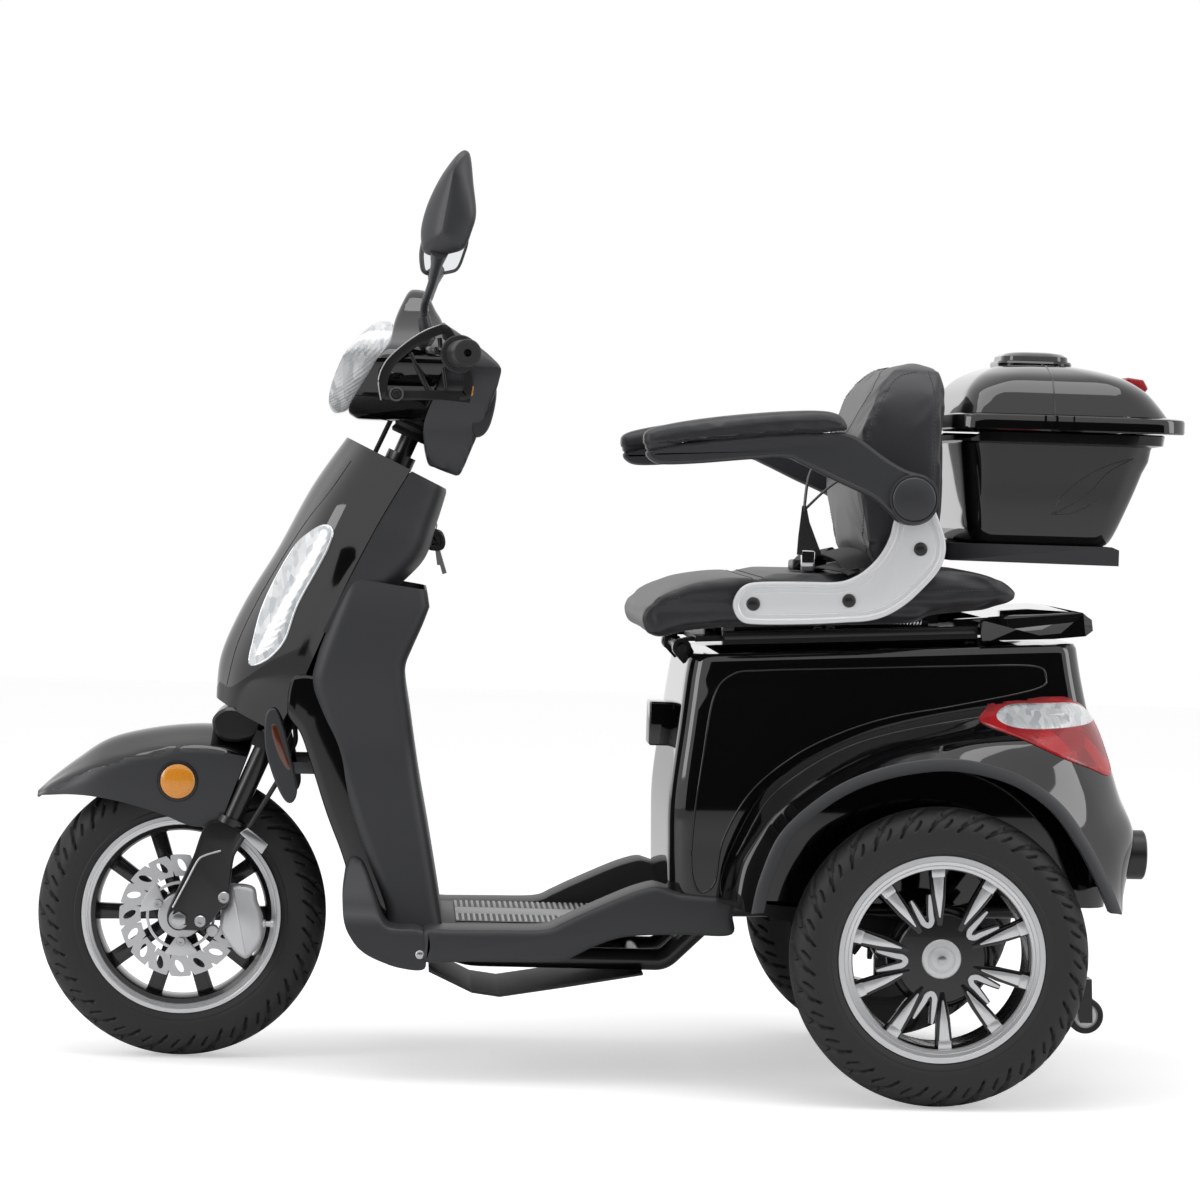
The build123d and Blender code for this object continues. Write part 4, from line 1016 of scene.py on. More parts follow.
def rear_wheel(sign, tag):
    """One rear wheel: black casting with ten turned spoke faces and five turned loops."""
    c = centre_of("rear_tyre_" + tag)
    y = 33.0 * sign
    barrel = turned("rim", sided(sign, [(118, -33), (140, -33), (140, -30), (131, -26), (129, 0), (131, 26),
        (140, 30), (140, 33), (123, 31), (120, 24), (121, 0)]), c, 120)
    lip = turned("lip", sided(sign, [(121.5, 28), (122.5, 31.8), (126.0, 32.6), (126.8, 31.8), (127.6, 32.8),
        (131.5, 33.6), (132.2, 32.8), (133.0, 33.8), (139.6, 33.8), (140.4, 31), (134, 28)]), c, 120)
    coated(barrel, wheel_paint)
    coated(lip, wheel_cut)
    bodies = wheel_prism("spoke", [(-3.5, 44), (3.5, 44), (9.2, 80), (11.6, 122), (-11.6, 122), (-9.2, 80)],
        c, 8 * sign, 22.5 * sign, 1.5)
    faces = wheel_prism("face", [(-0.9, 56), (0.9, 56), (5.0, 84), (8.2, 121), (-8.2, 121), (-5.0, 84)], c,
        22.0 * sign, 25.5 * sign, 0.5)
    notch = wheel_prism("step", [(-8.6, 110.6), (8.6, 110.6), (9.2, 122), (-9.2, 122)], c, 24.0 * sign,
        27.5 * sign, 0.6)
    start = 4
    bodies = repeated(bodies, 10, c, start, wheel_paint)
    faces = repeated(faces, 10, c, start, wheel_cut)
    notch = repeated(notch, 10, c, start, wheel_cut)
    hub = turned("hub", sided(sign, [(10, -26), (36, -26), (40, 6), (58, 8), (61, 12), (61, 19), (59, 21),
        (30, 23.5), (10, 23.5)]), c, 80)
    drum = turned("drum", sided(sign, [(20, -22), (66, -22), (70, -18), (70, -4), (66, 0), (20, 0)]), c, 72)
    coated(hub, wheel_paint)
    coated(drum, powder_coat)
    arc = [Vector((11.5, y, 88)), Vector((9.3, y, 74)), Vector((7.0, y, 60)), Vector((5.4, y, 53)),
        Vector((0, y, 48.2)), Vector((-5.4, y, 53)), Vector((-7.0, y, 60)), Vector((-11.0, y, 74)),
        Vector((-14.8, y, 87))]
    line = smooth_line(arc, 36)

    def strip(name, thin, far, near):
        """Flat bar bent along the loop, wider in its middle."""
        rings = []
        for i, p in enumerate(line):
            along = (line[min(i + 1, 35)] - line[max(i - 1, 0)]).normalized()
            wide = Vector((along.z, 0, -along.x))
            half = thin + 2.6 * sin(pi * (i / 35)) ** 0.7
            rings.append([c + (p + wide * a * half + Vector((0, b * sign, 0))) * MM
                          for a, b in ((-1, far), (1, far), (1, near), (-1, near))])
        return skin(name, rings)

    loop = strip("loop", 1.0, -11.5, -7.2)
    loops = repeated(loop, 5, c, start + 18, wheel_cut)
    web = strip("web", 3.2, -20, -11.2)
    webs = repeated(web, 5, c, start + 18, wheel_paint)
    cap = turned("cap", sided(sign, [(0.01, 24), (0.01, 31), (11, 31), (14.5, 30), (15.5, 28), (17.5, 27.5),
        (20, 29.4), (25, 28.6), (26.5, 26.5), (26.5, 23)]), c, 72)
    coated(cap, cast_silver)
    nut = wheel_prism("nut", hexagon(7.2), c, 31 * sign, 36 * sign, 0.8)
    coated(nut, zinc)
    whole = joined("rear_wheel_cast_" + tag, [barrel, lip, bodies, faces, notch, hub, drum, loops, webs, cap,
        nut])
    tidy(whole, merge=0)
    dressed(whole, None, "rear_wheel_" + tag, 30, ["rear_rim_" + tag])


class SCOOTER_OT_rear_wheels(Operator):
    """Rear wheels with turned spoke faces and loops"""

    bl_idname = "scooter.rear_wheels"
    bl_label = "Rear wheels"

    def execute(self, context):
        rear_wheel(1, "left")
        rear_wheel(-1, "right")
        return {"FINISHED"}


class SCOOTER_OT_anti_tip(Operator):
    """Small anti-tip wheels with a grey core"""

    bl_idname = "scooter.anti_tip"
    bl_label = "Anti-tip wheels"

    def execute(self, context):
        for tag in ("left", "right"):
            c = centre_of("anti_tip_wheel_" + tag)
            band = turned("band", [(16.5, -9), (23, -10), (25, -8), (25, 8), (23, 10), (16.5, 9)], c, 48)
            core = turned("core", [(4.4, -8), (4.4, 8), (6, 10.5), (9, 10.5), (10, 8), (15, 8), (17, 9.5),
                (17, -9.5), (15, -8), (10, -8), (9, -10.5), (6, -10.5)], c, 48)
            coated(band, soft_rubber)
            coated(core, cast_silver)
            wheel = joined("anti_tip_roller_" + tag, [band, core])
            dressed(wheel, None, "anti_tip_" + tag, 30, ["anti_tip_wheel_" + tag])
        return {"FINISHED"}


# ---------------------------------------------------------------- solids that keep their shape
class SCOOTER_OT_structure(Operator):
    """Paint for the solids that are shown as they are"""

    bl_idname = "scooter.structure"
    bl_label = "Frame and plain solids"

    def execute(self, context):
        for maker, nodes in ((powder_coat, ("chassis_frame", "front_spine", "rear_axle", "front_fork",
                "seat_deck", "seat_slider")), (pp_satin, ("battery_pack",)), (soft_rubber, ("brake_hose",)),
                (pp_grained, ("belly_pan",))):
            for node in nodes:
                coated(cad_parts[node], maker)
        return {"FINISHED"}


class SCOOTER_OT_panels(Operator):
    """Moulded panels, smoothly shaded over their solids"""

    bl_idname = "scooter.panels"
    bl_label = "Moulded panels"

    def execute(self, context):
        for node, maker, body, slot, angle in (
                ("deck_tail", abs_gloss, "seat_base", "gloss_black", 30),
                ("box_carrier", pp_grained, "seat", "matte_black", 30),
                ("handlebar", powder_coat, "steering", "frame_black", 35)):
            dressed(solid_copy(node, node + "_skin"), maker, body, angle, [node])
        return {"FINISHED"}


# ---------------------------------------------------------------- pressed and padded pieces
def placed_at(point):
    """Millimetres behind the front axle, to the left and above the ground."""
    return (FRONT_AXLE.x - point.x) / MM, point.y / MM, point.z / MM


def inset_line(line, distance):
    """Closed (s, z) line moved inwards."""
    n = len(line)
    area = sum(line[i - 1][0] * line[i][1] - line[i][0] * line[i - 1][1] for i in range(n))
    turn = 1 if area > 0 else -1
    out = []
    for i in range(n):
        before, after = line[i - 1], line[(i + 1) % n]
        ds, dz = after[0] - before[0], after[1] - before[1]
        size = hypot(ds, dz) or 1.0
        out.append((line[i][0] - turn * dz / size * distance, line[i][1] + turn * ds / size * distance))
    return out


def flat_line(corners, count, closed=False):
    """Evenly spaced places on a smooth line in a plane."""
    return [(p.x, p.y) for p in smooth_line([Vector((a, b, 0)) for a, b in corners], count, closed)]


def pressed(name, corners, levels, count=120):
    """Piece with a smooth side outline. Each level is (how far set in, y)."""
    line = flat_line(corners, count, True)
    return skin(name, [side(inset_line(line, depth), y) for depth, y in levels])


def near_line(point, line, reach):
    """True where a (s, z) place lies within reach of an open line."""
    for (s0, z0), (s1, z1) in zip(line, line[1:]):
        ds, dz = s1 - s0, z1 - z0
        share = max(0.0, min(1.0, ((point[0] - s0) * ds + (point[1] - z0) * dz) / (ds * ds + dz * dz)))
        if hypot(point[0] - s0 - share * ds, point[1] - z0 - share * dz) < reach:
            return True
    return False


def drawn_in(line, spine, share):
    """Closed line drawn towards a short straight line inside it."""
    (s0, z0), (s1, z1) = spine
    out = []
    for s, z in line:
        t = ((s - s0) * (s1 - s0) + (z - z0) * (z1 - z0)) / ((s1 - s0) ** 2 + (z1 - z0) ** 2)
        t = max(0.0, min(1.0, t))
        out.append((s + (s0 + (s1 - s0) * t - s) * share, z + (z0 + (z1 - z0) * t - z) * share))
    return out


def reshaped(made, shape):
    """Move every vertex by shape(s, y, z) in millimetres."""
    for v in made.data.vertices:
        v.co = at(*shape(*placed_at(v.co)))
    return made


def stuffed(made, sewn, voxel=6.0, soften=14, gap=3.0, cap=6.0):
    """Cover filled with foam: remeshed, drawn in, then blown out by a short cloth run, its seams held."""
    even = made.modifiers.new("Even", "REMESH")
    even.mode = "VOXEL"
    even.voxel_size = voxel * MM
    baked(made)
    soft = made.modifiers.new("Soft", "SMOOTH")
    soft.factor = 0.5
    soft.iterations = soften
    baked(made)
    mesh = made.data
    inwards = [n.vector.copy() for n in mesh.vertex_normals]
    held = [v.index for v in mesh.vertices if sewn(*placed_at(v.co))]
    sewn_in = set(held)
    for v, n in zip(mesh.vertices, inwards):
        v.co -= n * (gap + (2.0 if v.index in sewn_in else 0.0)) * MM
    rest = [v.co.copy() for v in mesh.vertices]
    scene = bpy.context.scene
    group = made.vertex_groups.new(name="sewn")
    group.add(held, 1.0, "REPLACE")
    cover = made.modifiers.new("Cover", "CLOTH")
    cover.settings.quality = 4
    cover.settings.mass = 0.3
    cover.settings.use_pressure = True
    cover.settings.uniform_pressure_force = sizes().pad_pressure
    cover.settings.effector_weights.gravity = 0.0
    cover.settings.tension_stiffness = 20
    cover.settings.compression_stiffness = 20
    cover.settings.vertex_group_mass = "sewn"
    cover.point_cache.frame_start = 1
    cover.point_cache.frame_end = 20
    for step in range(1, 21):
        scene.frame_set(step)
    baked(made)
    made.vertex_groups.clear()
    scene.frame_set(1)
    for v, start in zip(made.data.vertices, rest):
        move = v.co - start
        if move.length > cap * MM:
            v.co = start + move.normalized() * cap * MM
    return divided(made, 1)


CUSHION_SEAM = 784.0            # s of the seam across the cushion


def cushion_edge(s):
    """Rise of the cushion's side seam towards the rear."""
    return 0.05 * (s - 690)


def arm_edge(s):
    """Rise of the arm pad's seam towards the rear."""
    return 0.09 * (s - 694)


BACK_FRONT_SEAM = [(936, 728), (925, 770), (920, 830), (923, 900), (944, 958), (968, 992), (1000, 1003)]
BACK_REAR_SEAM = [(1022, 1000), (1030, 960), (1030, 917), (1028, 820), (1026, 735)]
ARM_PAD = [(616, 895), (626, 906), (656, 914), (693, 920), (760, 929), (815, 935), (860, 937), (884, 932),
    (893, 920), (892, 908), (830, 905), (775, 900), (694, 889), (640, 876), (622, 874)]
ARM_BODY = [(622, 872), (630, 861), (648, 857), (695, 860), (760, 867), (810, 871), (832, 864), (880, 842),
    (930, 820), (955, 800), (968, 788), (987, 784), (1008, 791), (1021, 812), (1019, 836), (1004, 851),
    (974, 860), (945, 876), (915, 897), (893, 907), (860, 906), (775, 901), (694, 890), (636, 880)]
BRACKET = [(749, 665), (752, 682), (764, 696), (785, 701), (840, 703), (890, 704), (915, 712), (935, 727),
    (950, 745), (961, 768), (966, 790), (976, 812), (996, 826), (1014, 818), (1026, 795), (1036, 768),
    (1037, 745), (1028, 722), (1008, 698), (985, 676), (960, 660), (935, 652), (905, 649), (850, 645),
    (783, 643), (760, 647)]


class SCOOTER_OT_seat(Operator):
    """Cushion and back: foam in sewn covers, then their seams and stitches"""

    bl_idname = "scooter.seat"
    bl_label = "Seat and back"

    def execute(self, context):
        def cushion_seams(s, y, z):
            return abs(s - CUSHION_SEAM) < 4 and z > 660 or abs(z - 672 - cushion_edge(s)) < 3.5 and (s < 1120
                or abs(y) < 190)

        def nose(s, y, z):
            near, high = max(0.0, (760 - s) / 145) ** 2, min(1.0, (z - 620) / 60)
            return s + near * (22 * high - 11), y, z - 14 * near * (z - 620) / 105

        cushion = stuffed(reshaped(solid_copy("seat_cushion", "cushion_cover"), nose), cushion_seams, cap=6.0)
        top = surface_of(cushion)
        runs = [laid(top, [at(CUSHION_SEAM + off, y, 800) for y in range(-206, 207, 4)], (0, 0, -1), 0.2)
            for off in (-7.5, 7.5)]
        low = [(s, 677 + cushion_edge(s)) for s in range(650, 1120, 6)]
        for sign in (1, -1):
            runs.append(laid(top, side(low, 300 * sign), (0, -sign, 0), 0.2))
        dressed(cushion, leather, "seat", 60, ["seat_cushion"])
        stitched("cushion_stitches", runs, "seat")

        def back_seams(s, y, z):
            return abs(y) > 186 and (near_line((s, z), BACK_FRONT_SEAM, 4.5)
                or near_line((s, z), BACK_REAR_SEAM, 4.5))

        slim = reshaped(solid_copy("backrest", "back_cover"), lambda s, y,
            z: (s + 10 * (1041 - s) / 135, y, z))
        back = stuffed(slim, back_seams, soften=10, cap=5.0)
        face = surface_of(back)
        runs = []
        for sign in (1, -1):
            for seam, offsets in ((BACK_FRONT_SEAM, (-7, 7)), (BACK_REAR_SEAM, (-6,))):
                line = flat_line(seam, 90)
                for off in offsets:
                    moved = []
                    for i in range(1, len(line) - 1):
                        ds, dz = line[i + 1][0] - line[i - 1][0], line[i + 1][1] - line[i - 1][1]
                        size = hypot(ds, dz)
                        moved.append((line[i][0] - dz / size * off, line[i][1] + ds / size * off))
                    runs.append(laid(face, side(moved, 300 * sign), (0, -sign, 0), 0.2))
        dressed(back, leather, "seat", 60, ["backrest"])
        stitched("back_stitches", runs, "seat")
        return {"FINISHED"}


class SCOOTER_OT_arms(Operator):
    """Arm pads, arm mouldings and their silver side brackets"""

    bl_idname = "scooter.arms"
    bl_label = "Arms and brackets"

    def execute(self, context):
        pivot = at(987, 0, 820)
        for sign, tag in SIDES:
            body = "armrest_" + tag + "_body"
            pad = pressed("arm_cover_" + tag, ARM_PAD, sided(sign, [(14, 231), (5, 234), (0.5, 241), (0, 248),
                          (0, 267), (0.5, 274), (5, 280), (14, 284)]), 110)
            pad = stuffed(pad, lambda s, y, z: abs(z - 888 - arm_edge(s)) < 2.2 and s < 892, 4.0, 4, 1.5, 2.5)
            seam = [(s, 892 + arm_edge(s)) for s in range(636, 884, 5)]
            runs = [laid(surface_of(pad), side(seam, 330 * sign), (0, -sign, 0), 0.2)]
            dressed(pad, leather, body, 60, ["armrest_pad_" + tag])
            stitched("arm_stitches_" + tag, runs, body)

            arm = pressed("arm_shell_" + tag, ARM_BODY, sided(sign, [(9, 241), (2.5, 242), (0, 246), (0, 268),
                          (1.2, 271.5), (4.5, 273), (6.0, 271.6), (8.5, 271.2)]), 180)
            disc = turned("arm_disc_" + tag, sided(sign, [(0.01, 268), (0.01, 276.5), (27, 276.5),
                (29, 275.4), (30, 273.8), (31, 275), (33, 274.6), (34.4, 272), (34.4, 262), (0.01, 262)]),
                pivot, 72)
            dressed(joined("arm_moulding_" + tag, [arm, disc]), pp_satin, body, 32,
                ["armrest_" + tag])

            bracket = pressed("bracket_press_" + tag, BRACKET, sided(sign, [
                (3, 228.3), (0, 229), (0, 236.5), (0.9, 238.6), (2.6, 239.4),
                (6.2, 239.4), (7.6, 238.6), (8.6, 236.9), (10.4, 236.6), (13.6, 236.6),
                (14.4, 235.9), (15.2, 236.6), (19, 237.2)]), 160)
            pins = [turned("post", [(0.01, a * sign), (0.01, b * sign), (10, b * sign), (10, a * sign)],
                at(s, 0, z), 32) for s, z, a, b in ((776, 671, 216, 232), (907, 679, 216, 232),
                (1003, 752, 206, 232), (987, 820, 229, 262))]
            dressed(joined("bracket_" + tag, [bracket] + pins), bracket_paint, "seat", 28,
                ["side_bracket_" + tag])
            caps = [turned("cap", sided(sign, [(0.01, 236), (0.01, 241), (6, 240.6), (8.6, 239.2), (9.6, 237),
                (9.6, 236)]), at(s, 0, z), 32) for s, z in ((776, 671), (907, 679), (1003, 752))]
            dressed(joined("bracket_caps_" + tag, caps), nylon_black, "seat", 32)
        return {"FINISHED"}


class SCOOTER_OT_belt(Operator):
    """Lap belt with its buckle"""

    bl_idname = "scooter.belt"
    bl_label = "Lap belt"

    def execute(self, context):
        band = [(-23, -0.8), (23, -0.8), (23, 0.8), (-23, 0.8)]
        pieces = []
        for points in ([at(918, 198, 716), at(904, 188, 724), at(888, 150, 726), at(874, 110, 718),
                at(866, 70, 715)], [at(930, -196, 722), at(912, -180, 738), at(896, -140, 734),
                at(880, -80, 720), at(870, -20, 716)], [at(868, 62, 724), at(880, 90, 738), at(896, 130, 744),
                at(914, 176, 738), at(924, 192, 722)]):
            path = smooth_line(points, 40)
            pieces.append(sweep("strap", path, band, normal=Vector((0.25, 0, 1))))
        for points in ([at(851, 152, 802), at(855, 160, 846), at(868, 168, 876)],
                       [at(851, 152, 800), at(882, 166, 832), at(915, 182, 856)]):
            pieces.append(sweep("hung", smooth_line(points, 24), [(-1.0, -10), (1.0, -10), (1.0, 10),
                (-1.0, 10)], normal=Vector((0, 1, 0))))
        pieces.append(skin("twist", [[at(a, y - 0.9, z), at(b, y - 0.9, z), at(b, y + 0.9, z),
            at(a, y + 0.9, z)] for a, b, y, z in ((848, 854, 152, 806), (846, 859, 151, 784),
            (844, 868, 150, 762), (843, 878, 149, 738))]))
        dressed(joined("belt_webbing", pieces), webbing, "seat", 50)
        tongue = plate("tongue", [(849, 716), (868, 716), (868, 745), (849, 745)], 143, 157, 2.0, 2)
        dressed(tongue, chrome, "seat", 34)
        buckle = rounded(skin("buckle", [
            [at(s, y, z + dz) for s, dz in ((846, 0), (894, 0), (894, 15), (846, 15))]
            for y, z in ((8, 713), (26, 714), (62, 715), (74, 716))]), 3.0, 3)
        dressed(buckle, nylon_black, "seat", 32)
        return {"FINISHED"}


# ---------------------------------------------------------------- moulded forms
def moulded(name, outline, front, soft=4.0, count=140, steps=56):
    """Form whose side view is the outline and whose front view is the half line from top to bottom."""
    line = flat_line(outline, count, True)
    dense = flat_line(front, 240)
    tip = max(range(len(dense)), key=lambda i: dense[i][0])
    upper, lower = dense[:tip + 1], dense[tip:]

    def height(branch, y, beyond):
        if y <= min(p[0] for p in branch):
            return beyond
        for a, b in zip(branch, branch[1:]):
            if min(a[0], b[0]) <= y <= max(a[0], b[0]) and a[0] != b[0]:
                return a[1] + (b[1] - a[1]) * (y - a[0]) / (b[0] - a[0])
        return branch[0][1] if y > 0.5 * dense[tip][0] else beyond

    def held(s, z):
        reach = [a[0] + (b[0] - a[0]) * (z - a[1]) / (b[1] - a[1]) for a, b in zip(line, line[1:] + line[:1])
                 if min(a[1], b[1]) <= z <= max(a[1], b[1]) and a[1] != b[1]]
        return max(min(s, max(reach)), min(reach)) if reach else s

    rings = []
    for i in range(steps + 1):
        y = dense[tip][0] * sin(pi * (i / steps - 0.5))
        high, low = height(upper, abs(y), 4000.0), height(lower, abs(y), -4000.0)
        ring = []
        for s, z in line:
            level = min(z, high) - soft * log1p(exp(-abs(z - high) / soft))
            level = max(level, low) + soft * log1p(exp(-abs(level - low) / soft))
            ring.append(at(held(s, level) if abs(level - z) > 0.2 else s, y, level))
        rings.append(ring)
    return skin(name, rings)


def tapered(name, path, radii, sides=20):
    """Round rod along a path whose radius changes."""
    rings = []
    for i, p in enumerate(path):
        along = (path[min(i + 1, len(path) - 1)] - path[max(i - 1, 0)]).normalized()
        across = along.cross(Vector((0, 1, 0)))
        if across.length < 0.1:
            across = along.cross(Vector((1, 0, 0)))
        across.normalize()
        lift = across.cross(along)
        share = i / (len(path) - 1) * (len(radii) - 1)
        k = min(int(share), len(radii) - 2)
        r = radii[k] + (radii[k + 1] - radii[k]) * (share - k)
        rings.append([p + (across * cos(2 * pi * j / sides) + lift * sin(
            2 * pi * j / sides)) * r * MM for j in range(sides)])
    return skin(name, rings)


def aimed(obj, start, direction):
    """Turns a piece that stands along Z to a direction, and sets it at a place."""
    turn = Vector((0, 0, 1)).rotation_difference(Vector(direction)).to_matrix().to_4x4()
    obj.data.transform(Matrix.Translation(start) @ turn)
    return obj


def spun(name, profile, start, direction, steps=48):
    """Round piece about any axis, from corners given as (radius, along) in millimetres."""
    return aimed(turned(name, profile, Vector((0, 0, 0)), steps, "Z"), start, direction)


def coil_spring(name, start, direction, turns, radius, length, wire, maker):
    """Coil spring, with its sizes in metres."""
    seed = line_object(name, [[start, start + Vector(direction) * length]])
    coil = grown(seed, coil_tree, maker, turns=turns, radius=radius, length=length, wire=wire)
    return aimed(coil, start, direction)


def hoop(name, outline, width, y_from, y_to, bevel=1.5, count=120):
    """Flat frame of even width with an opening through it."""
    line = flat_line(outline, count, True)
    inner = inset_line(line, width)
    rings = [side(line, y_from), side(line, y_to), side(inner, y_to), side(inner, y_from)]
    return rounded(skin(name, rings + rings[:1], caps=False), bevel, 2)


COWL_SIDE = [(298, 1093), (312, 1094), (322, 1090), (334, 1066), (345, 1046), (351, 1010), (350, 985),
    (338, 950), (322, 911), (290, 908), (240, 908), (226, 910), (217, 922), (238, 960), (258, 996),
    (272, 1022), (278, 1050), (288, 1076)]
COWL_FRONT = [(16, 1100), (40, 1076), (62, 1056), (90, 1036), (118, 1022), (144, 1010), (157, 999),
    (160, 988), (156, 974), (140, 950), (120, 930), (98, 912), (70, 898)]
LAMP_SIDE = [(250, 1045), (266, 1048), (274, 1045), (277, 1032), (266, 1010), (246, 974), (226, 938),
    (216, 922), (206, 917), (196, 917), (189, 928), (191, 950), (199, 975), (209, 998), (222, 1016),
    (236, 1032)]
LAMP_FRONT = [(30, 1058), (60, 1046), (86, 1034), (99, 1018), (104, 1000), (102, 976), (92, 950), (76, 930),
    (52, 912)]
DASH_SIDE = [(344, 1046), (356, 1040), (382, 1022), (400, 1010), (414, 998), (426, 984), (424, 966),
    (419, 948), (405, 910), (390, 872), (380, 846), (373, 834), (362, 836), (340, 844), (330, 850),
    (323, 880), (323, 908), (334, 940), (350, 985), (352, 1010)]
DASH_FRONT = [(64, 1058), (100, 1040), (124, 1016), (136, 998), (140, 980), (134, 956), (118, 930),
    (106, 904), (90, 880), (78, 850), (66, 820)]
LOOP = [(262, 938), (258, 962), (268, 988), (292, 1012), (318, 1030), (342, 1040), (356, 1034), (372, 1004),
    (386, 974), (386, 948), (378, 938), (340, 937), (290, 935)]
LEAF = [(-36, 8), (-40, 32), (-35, 64), (-23, 96), (-7, 124), (5, 139), (13, 141), (19, 131), (27, 98),
    (36, 60), (33, 36), (25, 12), (8, 3), (-18, -3), (-30, -1)]


class SCOOTER_OT_cowls(Operator):
    """Head cowl, headlamp, rear cowl and the lever frames"""

    bl_idname = "scooter.cowls"
    bl_label = "Cowls and headlamp"

    def execute(self, context):
        cowl = moulded("head_cowl_shell", COWL_SIDE, COWL_FRONT)
        dressed(cowl, abs_gloss, "steering", 32, ["head_cowl"])
        lens = moulded("headlamp_lens", LAMP_SIDE, LAMP_FRONT, 3.0)
        dressed(lens, clear_lens, "steering", 36, ["headlamp"])
        dash = moulded("rear_cowl_shell", DASH_SIDE, DASH_FRONT)
        boot = spun("stem_boot", [(0.01, 0), (27, 0), (29.5, 4), (27, 10), (29.5, 16), (27, 22), (29.5, 28),
            (27, 34), (28, 44), (0.01, 44)], at(303, 0, 885), STEERING_AXIS)
        dressed(boot, soft_rubber, "steering", 40)
        dressed(dash, pp_satin, "steering", 32, ["rear_cowl"])
        parts, bright, orange = [], [], []
        for sign in (1, -1):
            parts.append(hoop("lever_frame", LOOP, 13, 150 * sign, 166 * sign))
            bead = smooth_line(side([(262, 934), (258, 962), (268, 988), (292, 1012), (318, 1030),
                (342, 1040)], 167 * sign), 60)
            bright.append(sweep("frame_bead", bead, 0.9))
            parts.append(sweep("lever", smooth_line([at(283, 160 * sign, 943), at(330, 166 * sign, 943),
                at(384, 160 * sign, 939)], 24), [(-4, -5), (4, -5), (4, 5), (-4, 5)]))
            bright.append(turned("pivot_ring", sided(sign, [(7.5, 168), (7.5, 171), (10, 171), (10, 168)]),
                at(283, 0, 943), 32))
            parts.append(turned("pivot", sided(sign, [(0.01, 160), (0.01, 172), (5, 171.5), (7.5, 169),
                (7.5, 160)]), at(283, 0, 943), 32))
            parts += [sweep("brace", [at(300, 157 * sign, 1000), at(330, 157 * sign, 944)], 4.0),
                      sweep("brace", [at(340, 156 * sign, 1022), at(352, 156 * sign, 944)], 3.2)]
            orange.append(plate("button", [(383, 943), (388, 944), (389, 957), (384, 958)], 150 * sign,
                160 * sign, 0.8, 2))
        dressed(joined("lever_frames", parts), nylon_black, "steering", 32)
        dressed(joined("lever_beads", bright), zinc, "steering", 40)
        dressed(joined("side_buttons", orange), amber, "steering", 40)
        flap = pressed("dash_flap", [(392, 890), (412, 900), (422, 950), (412, 985), (396, 990), (386, 940)],
                       [(4, 60), (1, 98), (0, 104), (2, 108)], 80)
        dressed(flap, pp_satin, "steering", 32)
        return {"FINISHED"}


class SCOOTER_OT_bar(Operator):
    """Ribbed grips, mirror boots and leaf-shaped mirrors"""

    bl_idname = "scooter.bar"
    bl_label = "Grips and mirrors"

    def execute(self, context):
        for sign, tag in SIDES:
            start, end = at(367, 211 * sign, 999), at(376.4, 331.3 * sign, 997)
            along = (end - start).normalized()
            length = (end - start).length / MM
            profile = [(11.5, 0), (25, 0), (26, 1.5), (26, 7), (24.5, 8.2), (19, 8.4)]
            place = 10.0
            while place < 62:
                profile += [(18.6, place), (18.6, place + 3.6), (17.0, place + 4.2), (17.0, place + 5.8)]
                place += 6.4
            profile += [(18.6, place), (18.6, length - 3), (17.4, length - 0.6), (15, length), (5.2, length),
                (5.2, length - 8), (11.5, length - 8)]
            grip = spun("grip_cover_" + tag, profile, start, along)
            dressed(grip, soft_rubber, "steering", 32, ["grip_" + tag])

            x_way = Vector((-0.9, 0.42 * sign, -0.09)).normalized()
            out = Vector((0.42, 0.9 * sign, 0.02)).normalized()
            up = out.cross(x_way).normalized() * sign
            origin = at(346, 258 * sign, 1130)
            line = flat_line(LEAF, 110, True)
            rings = []
            spine = ((2, 30), (8, 108))
            for share, rise in ((0.3, 1.5), (0.12, 0.6), (0.03, 0), (0, 1.2), (0, 6), (0.06, 10.5), (0.2, 16),
                    (0.38, 21), (0.56, 25), (0.72, 27.6), (0.86, 29), (1.0, 29.4)):
                rings.append([origin + (x_way * a + up * b + out * rise) * MM for a,
                    b in drawn_in(line, spine, share)])
            shell = skin("mirror_shell", rings)
            path = smooth_line([at(323, 115 * sign, 1026), at(318, 117 * sign, 1064),
                at(328, 184 * sign, 1098), at(336, 262 * sign, 1136)], 40)
            stem = tapered("mirror_stem", path, [5.5, 5.5, 5.5, 6.0, 8.0, 13.0])
            boot = tapered("mirror_boot", smooth_line([at(326, 113 * sign, 1008), at(322, 115 * sign, 1032),
                at(317.5, 117 * sign, 1052)], 14), [14, 12, 9.5, 9.5, 8.5])
            made = joined("mirror_body_" + tag, [shell, stem, boot])
            dressed(made, pp_satin, "steering", 40, ["mirror_" + tag])
            face = skin("glass", [[origin + (x_way * a + up * b + out * rise) * MM for a,
                b in inset_line(line, depth)] for depth, rise in ((5.2, 0.2), (5.2, 1.4))])
            dressed(face, mirror_glass, "steering", 40)
        return {"FINISHED"}


